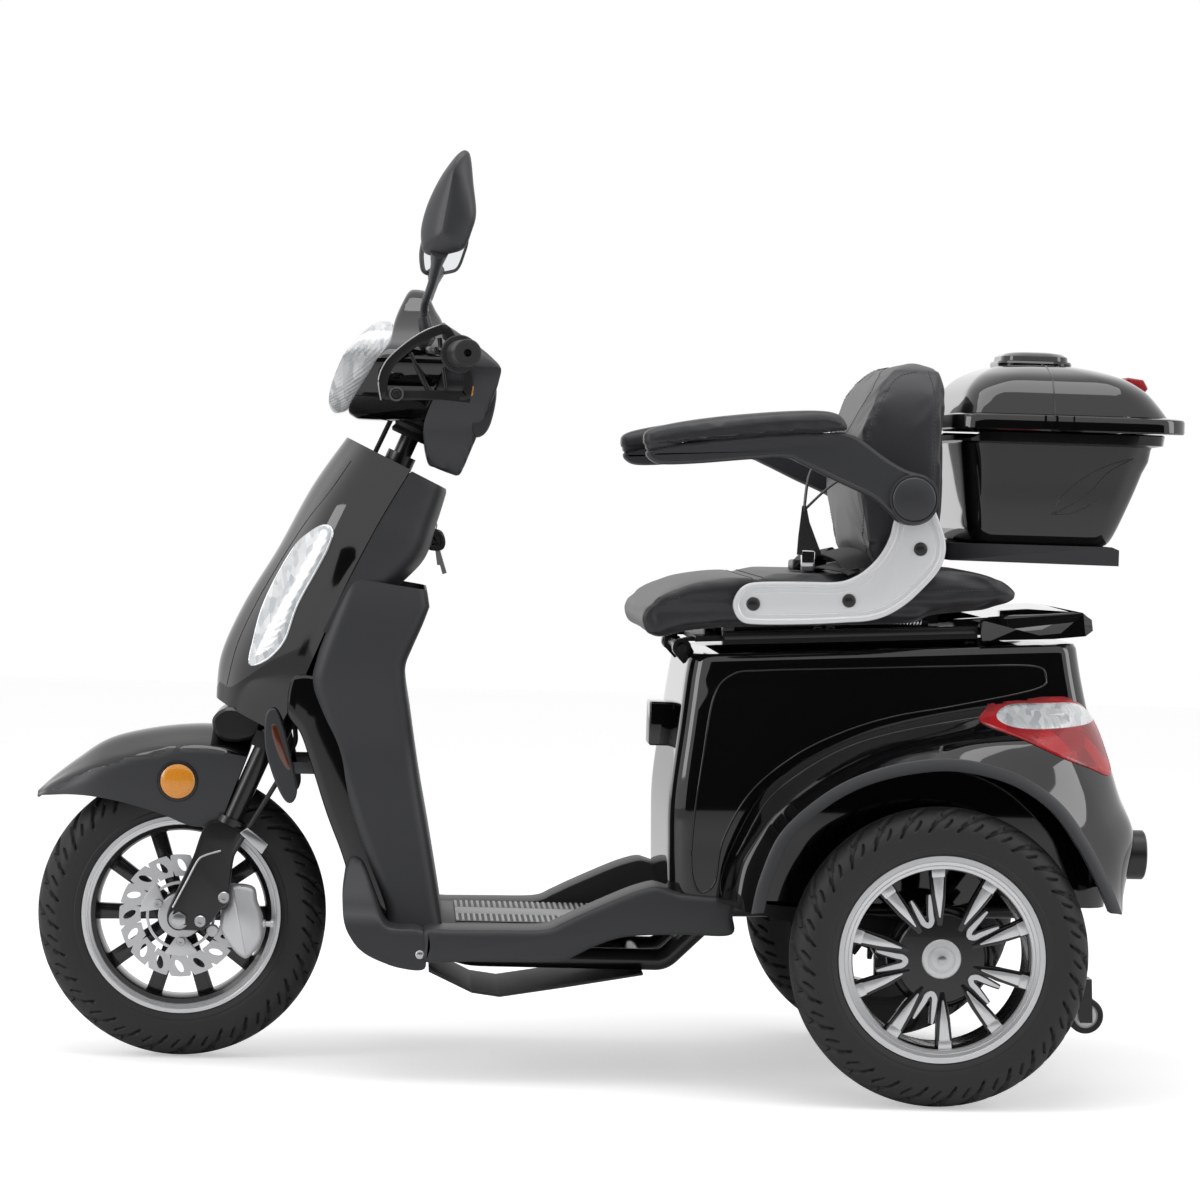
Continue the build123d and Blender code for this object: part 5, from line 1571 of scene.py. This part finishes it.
class SCOOTER_OT_key(Operator):
    """Ignition lock with its key hanging from it"""

    bl_idname = "scooter.key"
    bl_label = "Key and lock"

    def execute(self, context):
        out = Vector((-1, 0, -0.42)).normalized()
        lock = spun("lock", [(0.01, -14), (15, -14), (15, 1), (13.5, 2.5), (8, 2.5), (7.5, 1), (0.01, 1)],
            at(332, 0, 776), out, 40)
        ring = sweep("ring", [at(338 + 7 * sin(radians(a)), 1.5, 762 + 9 * cos(radians(a)))
            for a in range(0, 360, 15)], 0.9, True, Vector((0, 1, 0)))
        blade = plate("blade", [(343, 732), (350, 730), (361, 695), (355, 693), (351, 706), (347, 706)], -1.2,
            1.2, 0.4, 1)
        dressed(joined("key_metal", [lock, ring, blade]), zinc, "chassis", 32)
        fob = pressed("key_fob", [(330, 748), (333, 755), (345, 757), (354, 752), (358, 738), (354, 728),
            (342, 726), (332, 730)], [(2.5, -5.5), (0, -3.5), (0, 3.5), (2.5, 5.5), (6, 5.5), (7, 4.8),
            (10, 4.8)], 60)
        dressed(fob, nylon_black, "chassis", 32)
        return {"FINISHED"}


# ---------------------------------------------------------------- lofted bodywork
def woven(rings, count):
    """Rings joined by smooth lines, then cut into evenly spaced rings again."""
    paths = [smooth_line([ring[k] for ring in rings], count) for k in range(len(rings[0]))]
    return [[path[i] for path in paths] for i in range(count)]


def box_ring(z, s_from, s_to, half, corner, slope=0.0, arc=12, straight=10):
    """Level ring with straight sides and round corners. The slope lifts it towards the rear."""
    flat = []
    for cs, cy, start in ((s_to - corner, half - corner, 0), (s_from + corner, half - corner, 90),
            (s_from + corner, corner - half, 180), (s_to - corner, corner - half, 270)):
        for k in range(arc + 1):
            a = radians(start + 90 * k / arc)
            flat.append((cs + corner * cos(a), cy + corner * sin(a)))
    ring = []
    for i, (s, y) in enumerate(flat):
        ring.append(at(s, y, z + slope * (s - s_from)))
        if i % (arc + 1) == arc:
            s2, y2 = flat[(i + 1) % len(flat)]
            for k in range(1, straight):
                t = k / straight
                ring.append(at(s + (s2 - s) * t, y + (y2 - y) * t, z + slope * (s + (s2 - s) * t - s_from)))
    return ring


def boxes(rows):
    return [box_ring(*row) for row in rows]


def walled(obj, thickness):
    """Gives an open surface its wall, on the inner side."""
    wall = obj.modifiers.new("Wall", "SOLIDIFY")
    wall.thickness = thickness * MM
    wall.offset = -1.0
    return baked(obj)


def cast_on(tree, point, aim, lift):
    """Place where a point meets a surface along a direction, or the nearest place on it."""
    hit, normal, _, _ = tree.ray_cast(point - aim * 0.6, aim, 1.2)
    if hit is None:
        hit, normal, _, _ = tree.find_nearest(point)
    return hit + (normal if normal.dot(aim) < 0 else -normal) * lift * MM


def patch(name, tree, corners, spine, sign, levels, count=90, y=280):
    """Cover laid on a surface from the side. Each level is (share of the way to the spine, lift)."""
    line = flat_line(corners, count, True)
    aim = Vector((0, -sign, 0))
    levels = levels + [(levels[-1][0] + (1 - levels[-1][0]) * k / 8, levels[-1][1]) for k in range(1, 9)]
    return skin(name, [[cast_on(tree, p, aim, lift) for p in side(drawn_in(line, spine, share), y * sign)]
        for share, lift in levels])


def bead(name, tree, corners, sign, radius, lift=0.0, closed=False, count=90, y=280):
    """Thin raised line laid on a surface from the side."""
    line = flat_line(corners, count, closed)
    return sweep(name, [cast_on(tree, p, Vector((0, -sign, 0)), lift) for p in side(line, y * sign)], radius,
        closed)


LEAN = radians(25.6)       # how far the shield and the column cover lean back
SHIELD_FOOT = (38, 520)         # (s, z) that both are measured from


def lean(u, y, h):
    """Point on the leaning parts: u behind the foot, y to the left and h up along the lean."""
    s, z = SHIELD_FOOT
    return at(s + u * cos(LEAN) + h * sin(LEAN), y, z - u * sin(LEAN) + h * cos(LEAN))


def bowed_ring(left, tip, h, count):
    """Ring at height h from its left half and its tip, the same on both sides."""
    curve = left + [(tip, 0)] + [(u, -y) for u, y in reversed(left)]
    return smooth_line([lean(u, y, h) for u, y in curve], count)


SHIELD_ROWS = [(-8, 6, 104, 88), (50, -16, 105, 109), (130, -20, 101, 122), (220, -13, 96, 130),
    (320, -10, 97, 124), (404, 2, 103, 102)]
SIDE_LAMP = [(89, 564), (94, 596), (104, 639), (123, 684), (148, 728), (170, 749), (189, 759), (200, 752),
    (195, 730), (180, 699), (154, 648), (139, 602), (122, 578), (102, 564)]
BODY_ROWS = [(262, 676, 1284, 204, 34, 0), (330, 674, 1290, 204, 34, 0), (400, 674, 1292, 204, 34, 0),
    (500, 685, 1262, 198, 34, 0), (560, 692, 1246, 186, 34, 0.02), (592, 697, 1238, 179, 34, 0.05)]
PANEL_RIM = [(757, 572), (800, 578), (900, 583), (1050, 590), (1170, 594), (1190, 580), (1176, 562),
    (1063, 536), (981, 520), (913, 498), (846, 464), (785, 412), (748, 345), (738, 285), (718, 272),
    (706, 300), (706, 360), (716, 450), (730, 540)]
RIDGE = [(738, 262), (752, 330), (790, 406), (842, 452), (913, 489), (981, 512), (1063, 531), (1150, 546),
    (1222, 552), (1262, 516), (1286, 440), (1308, 372), (1298, 288)]
SHOULDER = [(752, 262), (764, 330), (800, 400), (850, 443), (913, 477), (981, 499), (1063, 514), (1150, 519),
            (1222, 512), (1262, 462), (1284, 410), (1304, 362), (1290, 280)]
LIP = [(793, 262), (803, 306), (828, 363), (878, 409), (930, 437), (990, 453), (1051, 457), (1119, 442),
    (1174, 409), (1212, 362), (1238, 318), (1252, 290), (1260, 272)]
TAIL_RED = [(1088, 521), (1104, 535), (1122, 546), (1160, 551), (1232, 554), (1250, 531), (1262, 492),
    (1269, 452), (1236, 462), (1196, 476), (1150, 496), (1110, 511)]
TAIL_CLEAR = [(1112, 524), (1134, 539), (1180, 543), (1228, 543), (1250, 522), (1190, 512), (1136, 512)]
GUARD_ROWS = [(-205, 16, 366, 368, 371), (-184, 40, 369, 379, 391), (-150, 58, 372, 396, 418),
    (-110, 69, 371, 413, 445), (-60, 74, 364, 428, 460), (0, 76, 350, 440, 469), (50, 76, 334, 440, 469),
    (96, 74, 334, 430, 456)]


class SCOOTER_OT_front_body(Operator):
    """Front shield with its leaf lamps, and the mudguard with its reflectors"""

    bl_idname = "scooter.front_body"
    bl_label = "Front shield and mudguard"

    def execute(self, context):
        rings = []
        for h, nose, seam, half in SHIELD_ROWS:
            deep = seam - nose
            left = [(seam, half), (nose + 0.4 * deep, 0.78 * half), (nose + 0.1 * deep, 0.34 * half)]
            rings.append(bowed_ring(left, nose, h, 72))
        shield = skin("shield", woven(rings, 64), around=False)
        shield = walled(shield, 2.0)
        tree = surface_of(shield)
        lamps, frames, edges = [], [], []
        for sign in (1, -1):
            lamps.append(patch("leaf", tree, SIDE_LAMP, ((106, 594), (186, 742)), sign,
                [(0, 0.2), (0.03, 2.2), (0.14, 3.2), (0.4, 3.8)]))
            frames.append(bead("leaf_rim", tree, SIDE_LAMP, sign, 1.8, 0.6, True))
            edges.append(bead("edge", tree, [(56, 530), (70, 590), (96, 650), (130, 712), (162, 764),
                (196, 810), (222, 850)], sign, 0.8))
        dressed(shield, abs_gloss, "chassis", 40, ["front_shield"])
        dressed(joined("leaf_lenses", lamps), clear_lens, "chassis", 40, ["shield_lamps"])
        dressed(joined("leaf_rims", frames), bright_frame, "chassis", 60)
        dressed(joined("shield_creases", edges), abs_gloss, "chassis", 60)

        rings = []
        for s, half, low, shoulder, crown in GUARD_ROWS:
            curve = [(half, low), (half, (low + shoulder) / 2), (half - 2, shoulder - 5),
                (half - 7, shoulder + 3), (0.62 * half, shoulder + 0.5 * (crown - shoulder)),
                (0.3 * half, shoulder + 0.88 * (crown - shoulder)), (0, crown)]
            curve += [(-y, z) for y, z in reversed(curve[:-1])]
            rings.append(smooth_line([at(-205 + (s + 205) * (1 - 0.146 * (1 - (z - low) / (crown - low))), y,
                z) for y, z in curve], 64))
        guard = walled(skin("mudguard", woven(rings, 70), around=False), 2.6)
        coated(guard, abs_gloss, pp_satin)
        for f in guard.data.polygons:
            f.material_index = 1 if abs(f.normal.z) < 0.42 and abs(f.center.y) > 0.03 else 0
        dressed(guard, None, "steering", 40, ["front_fender"])
        pods, discs = [], []
        for sign in (1, -1):
            pods.append(turned("pod", sided(sign, [(0.01, 70), (29, 70), (29, 78), (27.5, 80.5), (25, 81),
                (24, 79), (0.01, 79)]), at(-7, 0, 396), 64))
            discs.append(turned("disc", sided(sign, [(0.01, 78), (24, 78), (24, 80.4), (21, 82.2), (12, 83.4),
                (0.01, 84)]), at(-7, 0, 396), 64))
        dressed(joined("reflector_pods", pods), nylon_black, "steering", 40)
        dressed(joined("side_reflectors", discs), amber, "steering", 40)
        return {"FINISHED"}


class SCOOTER_OT_rear_body(Operator):
    """Rear body, flared fenders with their satin lips, tail lamps and bumper caps"""

    bl_idname = "scooter.rear_body"
    bl_label = "Rear body and fenders"

    def execute(self, context):
        rings = woven(boxes(BODY_ROWS), 54)
        rings += boxes(((596, 701, 1234, 175, 31, 0.055), (597, 706, 1229, 170, 28, 0.055),
                        (596, 742, 1160, 140, 20, 0.055), (566, 743, 1159, 139, 20, 0.055)))
        body = walled(skin("rear_case", rings, caps=False), 2.5)
        tree = surface_of(body)
        trims = [bead("panel_rim", tree, PANEL_RIM, sign, 1.5, 0.0, True, 220) for sign in (1, -1)]
        latch = slab("latch", (-28, 460), (40, 522), (653, 668, 688), 3.0, 3)
        dressed(joined("rear_case_shell", [body, latch]), abs_gloss, "chassis", 34,
            ["rear_body"])
        dressed(joined("panel_rims", trims), abs_gloss, "chassis", 60)

        for sign, tag in SIDES:
            lines = [smooth_line([Vector((s, z, 0)) for s, z in row], 130) for row in (RIDGE, SHOULDER, LIP)]
            middle = Vector((1035, 290, 0))
            shell, band = [], []
            for ridge, shoulder, lip in zip(*lines):
                outer = lip + (lip - middle).normalized() * 17
                shape = [(ridge, 176), (ridge.lerp(shoulder, 0.35) + (ridge - middle).normalized() * 2, 222),
                    (shoulder, 264), (shoulder.lerp(outer, 0.45), 306), (outer, 338)]
                profile = smooth_line([at(p.x, y * sign, p.y) for p, y in shape], 26)
                shell.append(profile)
                band.append([at(p.x, y * sign, p.y) for p, y in ((outer, 334), (outer, 340.5),
                    (outer.lerp(lip, 0.12), 342.5), (outer.lerp(lip, 0.9), 344.6), (lip, 343), (lip, 322))])
            fender = walled(skin("fender", shell, around=False), 2.5)
            tree = surface_of(fender)
            creases = [bead("crease", tree, [(762, 330), (800, 402), (850, 446), (913, 481), (981, 503),
                (1063, 520), (1096, 525)], sign, 1.3, 0.0, y=262)]
            lip_band = walled(skin("lip", band, around=False), 2.0)
            cap = turned("cap", [(0.01, 3), (25, 3), (27, 0), (32, 0), (34, 2), (34, 45), (0.01, 45)],
                at(1330, 205 * sign, 338), 48, "X")
            red = patch("red", tree, TAIL_RED, ((1104, 522), (1262, 488)), sign,
                [(0, -0.5), (0.01, 1.4), (0.08, 2.6), (0.16, 2.2)], y=262)
            clear = patch("clear", tree, TAIL_CLEAR, ((1126, 526), (1236, 531)), sign,
                [(0, 1.0), (0.04, 2.9), (0.25, 3.6)], y=262)
            dressed(joined("fender_shell_" + tag, [fender] + creases), abs_gloss, "chassis",
                40, ["rear_fender_" + tag])
            dressed(lip_band, pp_satin, "chassis", 40)
            dressed(cap, nylon_black, "chassis", 40)
            dressed(red, tail_lens, "chassis", 40, ["tail_lamp_" + tag])
            dressed(clear, clear_lens, "chassis", 40)
        return {"FINISHED"}


TUB_ROWS = [(761, 1094, 1274, 148, 24), (766, 1088, 1281, 155, 27), (782, 1082, 1290, 160, 28),
    (815, 1077, 1304, 167, 31), (850, 1073, 1318, 172, 34), (900, 1067, 1335, 180, 37)]
DOME_ROWS = [(942, 1065, 1355, 188, 44), (958, 1070, 1344, 182, 46), (978, 1079, 1327, 172, 48),
    (994, 1094, 1303, 156, 50), (1004, 1111, 1276, 132, 50), (1011, 1130, 1246, 100, 44),
    (1014, 1150, 1224, 66, 34), (1015, 1170, 1204, 24, 14)]


class SCOOTER_OT_box(Operator):
    """Top box with its lid, rim, back pad and reflector"""

    bl_idname = "scooter.box"
    bl_label = "Top box"

    def execute(self, context):
        rings = woven(boxes(TUB_ROWS), 40)
        rings += boxes(((902, 1060, 1347, 189, 43), (903, 1056, 1350, 192, 44), (916, 1056, 1352, 193, 45),
            (918, 1059, 1350, 190, 44), (918, 1070, 1338, 180, 38), (880, 1074, 1331, 176, 35),
            (766, 1094, 1274, 150, 24)))
        tub = reshaped(skin("tub", rings), lambda s, y, z: (s, y, min(z,
            930 - sqrt(max(0.0, 24 ** 2 - (s - 1070) ** 2))) if abs(s - 1070) < 24 else z))
        tree = surface_of(tub)
        lines = []
        for sign in (1, -1):
            for row in ([(1194, 805), (1210, 832), (1240, 858), (1275, 876), (1304, 884)],
                    [(1194, 805), (1216, 816), (1246, 836), (1270, 864), (1304, 884)],
                    [(1194, 805), (1225, 808), (1262, 828)]):
                lines.append(bead("sculpted", tree, row, sign, 1.1, 0.0))
        dressed(joined("box_tub", [tub] + lines), abs_gloss, "seat", 34, ["top_box"])

        rim = skin("rim", boxes(((919, 1066, 1352, 185, 40), (919, 1054, 1376, 198, 45),
            (921, 1052, 1378, 200, 46), (936, 1052, 1378, 200, 46), (939, 1053.5, 1376.5, 198.5, 45),
            (941, 1058, 1368, 193, 44), (941, 1066, 1356, 188, 44), (930, 1070, 1352, 184, 42))))
        dome = skin("dome", woven(boxes(DOME_ROWS), 46))
        pad = skin("pad", boxes(((1002, 1135, 1237, 61, 30), (1016, 1133, 1239, 63, 31),
            (1019, 1134.5, 1237.5, 61.5, 30), (1020, 1138, 1234, 58, 29), (1026, 1139, 1233, 57, 28),
            (1030, 1145, 1227, 51, 26), (1032.5, 1158, 1214, 38, 20), (1033, 1176, 1196, 12, 8))))
        tree = surface_of(dome, rim)
        pieces = [rim, dome, pad]
        over = [at(1190, y, 1100) for y in range(-198, 199, 3)]
        pieces.append(sweep("seam", laid(tree, over, (0, 0, -1), 0.0), 1.1))
        for sign in (1, -1):
            for s, wide in ((1174, 3), (1190, 3), (1214, 2)):
                pieces.append(plate("catch", [(s, 922), (s + wide, 922), (s + wide, 940), (s, 940)],
                    199 * sign, 201.5 * sign))
        dressed(joined("box_lid_shell", pieces), abs_gloss, "box_lid_body", 34, ["box_lid"])
        block = [at(s, 0, z) for s, z in ((1312, 1000), (1336, 997), (1343, 985), (1330, 968), (1306, 985))]
        glass = rounded(skin("reflector", [[p + Vector((0, y, 0)) for p in block] for y in (-0.07, 0.07)]),
            2.0, 3)
        dressed(glass, tail_lens, "box_lid_body", 40)
        return {"FINISHED"}


# ---------------------------------------------------------------- leg shield, floor and running gear
LEG_ROWS = [(204, 290, 368, 158, 14, 0), (240, 285, 362, 152, 18, 0), (330, 247, 345, 140, 20, 0),
    (400, 222, 331, 129, 20, 0), (451, 205, 322, 124, 20, 0), (500, 188, 314, 130, 20, 0),
    (540, 177, 307, 136, 20, 0), (572, 182, 306, 138, 20, -0.03), (600, 190, 314, 138, 20, -0.07),
    (640, 205, 328, 136, 18, -0.12), (668, 216, 337, 132, 16, -0.145)]
CHEEK = [(152, 548), (144, 500), (163, 470), (178, 430), (202, 360), (226, 300), (246, 236), (262, 206),
    (300, 214), (292, 262), (262, 330), (238, 400), (220, 452), (204, 500), (192, 545)]
APRON_SIDE = [(228, 268), (229, 236), (233, 215), (241, 199), (254, 183), (276, 170), (310, 159), (342, 158),
    (344, 180), (344, 204), (330, 213), (300, 214), (286, 222), (270, 260), (254, 296), (236, 300)]
APRON_FRONT = [(122, 330), (140, 292), (170, 256), (196, 236), (206, 226), (211, 212), (212, 184)]
WING_SIDE = [(342, 212), (341, 190), (342, 168), (400, 169), (470, 170), (528, 172), (550, 181), (569, 191),
    (592, 201), (617, 208), (650, 211), (700, 213), (762, 214), (764, 240), (763, 263), (725, 267),
    (690, 270), (670, 276), (656, 279), (636, 274), (615, 266), (584, 252), (554, 238), (530, 226),
    (505, 216), (440, 214), (380, 213)]


class SCOOTER_OT_leg_shield(Operator):
    """Leg shield with its tray, column cover, apron and ribbed floor"""

    bl_idname = "scooter.leg_shield"
    bl_label = "Leg shield and floor"

    def execute(self, context):
        rings = woven(boxes(LEG_ROWS), 60)
        rings += boxes(((685, 221, 334, 128, 15, -0.145), (689, 223, 333, 127, 15, -0.145),
            (689, 226, 330, 124, 13, -0.145), (668, 226, 330, 123, 13, -0.12), (646, 236, 326, 121, 12, 0),
            (640, 242, 320, 116, 10, 0)))
        leg = skin("leg", rings)
        cover_rows = []
        for h, seam, rear, half in ((150, 97, 150, 128), (236, 97, 160, 129), (300, 97.5, 178, 126),
                (352, 100, 171, 115), (398, 104, 163, 103), (403, 106, 160, 100)):
            deep = rear - seam
            left = [(seam, half), (seam + 0.7 * deep, 0.92 * half), (rear - 0.06 * deep, 0.62 * half)]
            cover_rows.append(bowed_ring(left, rear, h, 56))
        cover = skin("cover", woven(cover_rows, 40))
        apron = moulded("apron", APRON_SIDE, APRON_FRONT, 6.0, 120, 60)
        cheeks, screws = [], []
        for sign in (1, -1):
            cheeks.append(pressed("cheek", CHEEK, sided(sign, [(6, 104), (2, 106), (0, 110), (0, 119),
                (1.5, 122), (5, 123.5), (11, 124)]), 150))
            screws.append(turned("screw", sided(sign, [(0.01, 209), (0.01, 213.6), (4, 213.2), (6, 212),
                (6.4, 209)]), at(336, 0, 178), 28))
        dressed(joined("shield_cheeks", cheeks), abs_gloss, "chassis", 40)
        dressed(joined("apron_screws", screws), zinc, "chassis", 30)
        dressed(joined("leg_shield_shell", [leg, cover, apron]), pp_grained, "chassis", 34,
            ["leg_shield"])

        wings = []
        for sign in (1, -1):
            wings.append(pressed("wing", WING_SIDE, sided(sign, [(9, 131), (1.2, 132), (0, 135), (0, 206),
                (1.2, 211), (4, 213.8), (9, 215)]), 200))
        board = slab("board", (-132, 205), (132, 213), (342, 676), 1.0)
        dressed(joined("floor_moulding", wings + [board]), pp_grained, "chassis", 34,
            ["footboard"])
        pitch = sizes().mat_rib_pitch
        rib = joined("rib", [slab("rib", (a, 213), (b, 216), (386, 386 + 0.5 * pitch / MM), 0.7) for a,
            b in ((-116, -38), (38, 116))])
        rows = int(252 * MM / pitch)
        ribs = grown(rib, row_tree, mat_grey, count=rows, step=(-pitch, 0.0, 0.0))
        walk = slab("walk", (-37, 213), (37, 215.6), (386, 638), 1.0)
        dressed(joined("foot_mat_grip", [ribs, walk]), mat_grey, "chassis", 34)
        mat = slab("mat", (-118, 213), (118, 214.4), (385, 640))
        dressed(mat, soft_rubber, "chassis", 34)
        return {"FINISHED"}


class SCOOTER_OT_fork(Operator):
    """Caliper, fork ends, clamps, side plates and axle nuts"""

    bl_idname = "scooter.fork"
    bl_label = "Fork and brake"

    def execute(self, context):
        lobes = pressed("lobes", [(70, 250), (101, 249), (108, 228), (116, 206), (116, 176), (98, 150),
            (86, 151), (72, 165), (58, 188), (58, 212), (68, 224)],
            [(3, 55), (0, 57), (0, 66), (2.5, 70.5), (7, 73)], 110)
        neck = pressed("neck", [(52, 246), (62, 250), (78, 252), (82, 232), (70, 224), (56, 226)],
                       [(1.5, 55), (0, 57), (0, 62), (2, 64)], 60)
        posts = [turned("post", [(0.01, 56), (0.01, 69), (7, 69), (8.5, 67), (8.5, 56)], at(s, 0, z), 32)
                 for s, z in ((90, 236), (46, 186))]
        union = spun("union", [(0.01, 0), (6, 0), (6, 7), (4, 8), (4, 14), (6, 15), (6, 19), (0.01, 19)],
            at(112, 62, 197), Vector((-1, 0, 0)), 24)
        caliper = joined("caliper_casting", [lobes, neck, union] + posts)
        dressed(caliper, cast_silver, "steering", 40, ["brake_caliper"])
        hub_side = [(-17, 208), (-6, 191), (20, 188), (38, 192), (56, 216), (70, 230), (70, 252), (74, 290),
            (85, 331), (38, 340), (16, 288), (-4, 244)]
        black = []
        for sign in (1, -1):
            black.append(pressed("foot", hub_side if sign > 0 else [(-16, 210), (-10, 194), (6, 187),
                (18, 198), (20, 226), (2, 234)], sided(sign, [(3, 74), (0, 76), (0, 84), (2, 87), (8, 88)]),
                90))
        crown = pressed("crown", [(54, 454), (38, 482), (62, 500), (104, 484), (96, 458)],
                        [(4, -66), (0, -62), (0, 62), (4, 66)], 60)
        dressed(joined("fork_feet", black + [crown]), powder_coat, "steering", 34)
        # A zinc strip along the edge of the left fork leg stands in for a highlight on the black leg: painted
        # highlight.
        line = smooth_line([at(-9, 87.5, 220), at(10, 87.5, 258), at(24, 87.5, 286), at(34, 87.5, 294),
            at(56, 87.5, 301)], 30)
        painted_highlight_strip = [sweep("edge", line, 1.5)]
        nuts = []
        for sign in (1, -1):
            nuts.append(wheel_prism("nut", hexagon(11), FRONT_AXLE, 87 * sign, 94 * sign, 1.0))
            nuts.append(turned("washer", sided(sign, [(6, 86), (14, 86), (14, 88), (6, 88)]), FRONT_AXLE, 40))
        for s, z in ((62, 236), (30, 202)):
            nuts.append(turned("bolt", [(0.01, 88), (0.01, 90), (3.4, 90), (3.4, 93.5), (7, 93.5), (8, 92.5),
                (8, 88)], at(s, 0, z), 32))
        clamp = plate("clamp", [(81, 327), (92, 335), (122, 312), (113, 297)], 76, 92, 2.0, 2)
        nuts.append(clamp)
        dressed(joined("fork_bright_parts", nuts + painted_highlight_strip), zinc, "steering", 34)
        oval = [(114, 494), (128, 501), (140, 474), (152, 428), (160, 390), (154, 372), (142, 376),
            (126, 408), (114, 450)]
        slit = [(123, 480), (130, 476), (142, 443), (150, 422), (146, 418), (134, 436), (124, 464)]
        plates, marks = [], []
        for sign in (1, -1):
            plates.append(pressed("oval", oval, sided(sign, [(2, 93), (0, 94), (0, 98), (2, 99.5)]), 90))
            plates.append(plate("stay", [(140, 428), (142, 412), (236, 412), (236, 428)], 93 * sign,
                96 * sign, 1.0, 2))
            marks.append(pressed("slit", slit, sided(sign, [(0, 98), (0, 100), (1.2, 100.6)]), 60))
        dressed(joined("side_marker_plates", plates), pp_satin, "chassis", 34)
        # The marker slits take the amber reflector darkened into deep brown as painted shade.
        dressed(joined("side_markers", marks), amber_in_painted_shade, "chassis", 34)
        return {"FINISHED"}


class SCOOTER_OT_dampers(Operator):
    """Rear dampers with red coil springs"""

    bl_idname = "scooter.dampers"
    bl_label = "Rear dampers"

    def execute(self, context):
        rods, coils = [], []
        for sign in (1, -1):
            low, high = at(1042, 138 * sign, 212), at(1122, 138 * sign, 445)
            along = (high - low).normalized()
            rods.append(spun("rod", [(0.01, 0), (8, 0), (8, 120), (13, 122), (13, 225), (8, 228), (8, 246),
                (0.01, 246)], low, along, 40))
            for end in (low, high):
                rods.append(turned("eye", [(6, -12), (15, -12), (15, 12), (6, 12)], end, 40))
            for d in (40, 222):
                rods.append(spun("seat", [(8, d), (25, d), (25, d + 4), (8, d + 4)], low, along, 40))
            coils.append(coil_spring("coil", low + along * 0.044, along, float(sizes().coil_turns), 0.0205,
                0.178, 0.0042, spring_red))
        stays = [plate("stay", [(1168, 345), (1200, 353), (1252, 318), (1254, 300), (1186, 306)], 150 * sign,
            156 * sign, 1.5, 2) for sign in (1, -1)]
        dressed(joined("bumper_stays", stays), zinc, "chassis", 34)
        dressed(joined("damper_bodies", rods), powder_coat, "chassis", 34, ["rear_dampers"])
        dressed(joined("damper_coils", coils), spring_red, "chassis", 50)
        return {"FINISHED"}


class SCOOTER_OT_under_seat(Operator):
    """Chrome slide tubes with their clips, one return spring, rail covers and stays under the seat"""

    bl_idname = "scooter.under_seat"
    bl_label = "Parts under the seat"

    def execute(self, context):
        bright, dark = [], []
        for sign in (1, -1):
            y = 157 * sign
            bright.append(sweep("tube", [at(860, y, 642), at(1000, y, 649)], 4.5))
            for s in (874, 892):
                bright.append(turned("clip", [(3, y - 3), (7, y - 3), (7, y + 3), (3, y + 3)],
                    at(s, 0, 634 + 0.05 * (s - 860)), 24))
            dark.append(plate("rail_cover", [(744, 618), (744, 628), (1092, 645), (1092, 636)], 168 * sign,
                172 * sign, 1.0, 2))
            dark.append(plate("stay", [(742, 628), (758, 629), (758, 646), (742, 645)], 140 * sign,
                166 * sign, 1.5, 2))
        bright.append(coil_spring("spring", at(968, 157, 648), (-1, 0, 0), 11.0, 0.005, 0.05, 0.0012, chrome))
        dressed(joined("slide_bright_parts", bright), chrome, "seat", 40)
        dressed(joined("rail_covers", dark), powder_coat, "seat_base", 34)
        return {"FINISHED"}


# ---------------------------------------------------------------- panel and start
OPERATORS = [SCOOTER_OT_stage, SCOOTER_OT_structure, SCOOTER_OT_panels, SCOOTER_OT_tyres,
    SCOOTER_OT_front_wheel, SCOOTER_OT_rear_wheels, SCOOTER_OT_anti_tip, SCOOTER_OT_seat, SCOOTER_OT_arms,
    SCOOTER_OT_belt, SCOOTER_OT_cowls, SCOOTER_OT_bar, SCOOTER_OT_key, SCOOTER_OT_front_body,
    SCOOTER_OT_rear_body, SCOOTER_OT_box, SCOOTER_OT_leg_shield, SCOOTER_OT_fork, SCOOTER_OT_dampers,
    SCOOTER_OT_under_seat]
STEPS = [cls.bl_idname.split(".")[1] for cls in OPERATORS]


class SCOOTER_PT_panel(Panel):
    """Lists the sizes, the colours and the pieces"""

    bl_idname = "SCOOTER_PT_panel"
    bl_label = "Scooter"
    bl_space_type = "VIEW_3D"
    bl_region_type = "UI"
    bl_category = "Scooter"

    def draw(self, context):
        for group in (context.scene.scooter_sizes, context.scene.scooter_colours):
            for name in group.__annotations__:
                self.layout.prop(group, name)
        for step in STEPS:
            self.layout.operator("scooter." + step)


CLASSES = [ScooterSizes, ScooterColours, *OPERATORS, SCOOTER_PT_panel]


def register():
    for cls in CLASSES:
        bpy.utils.register_class(cls)
    bpy.types.Scene.scooter_sizes = PointerProperty(type=ScooterSizes)
    bpy.types.Scene.scooter_colours = PointerProperty(type=ScooterColours)


def unregister():
    del bpy.types.Scene.scooter_colours
    del bpy.types.Scene.scooter_sizes
    for cls in reversed(CLASSES):
        bpy.utils.unregister_class(cls)


def main():
    register()
    for step in STEPS:
        getattr(bpy.ops.scooter, step)()


if __name__ == "__main__":
    main()
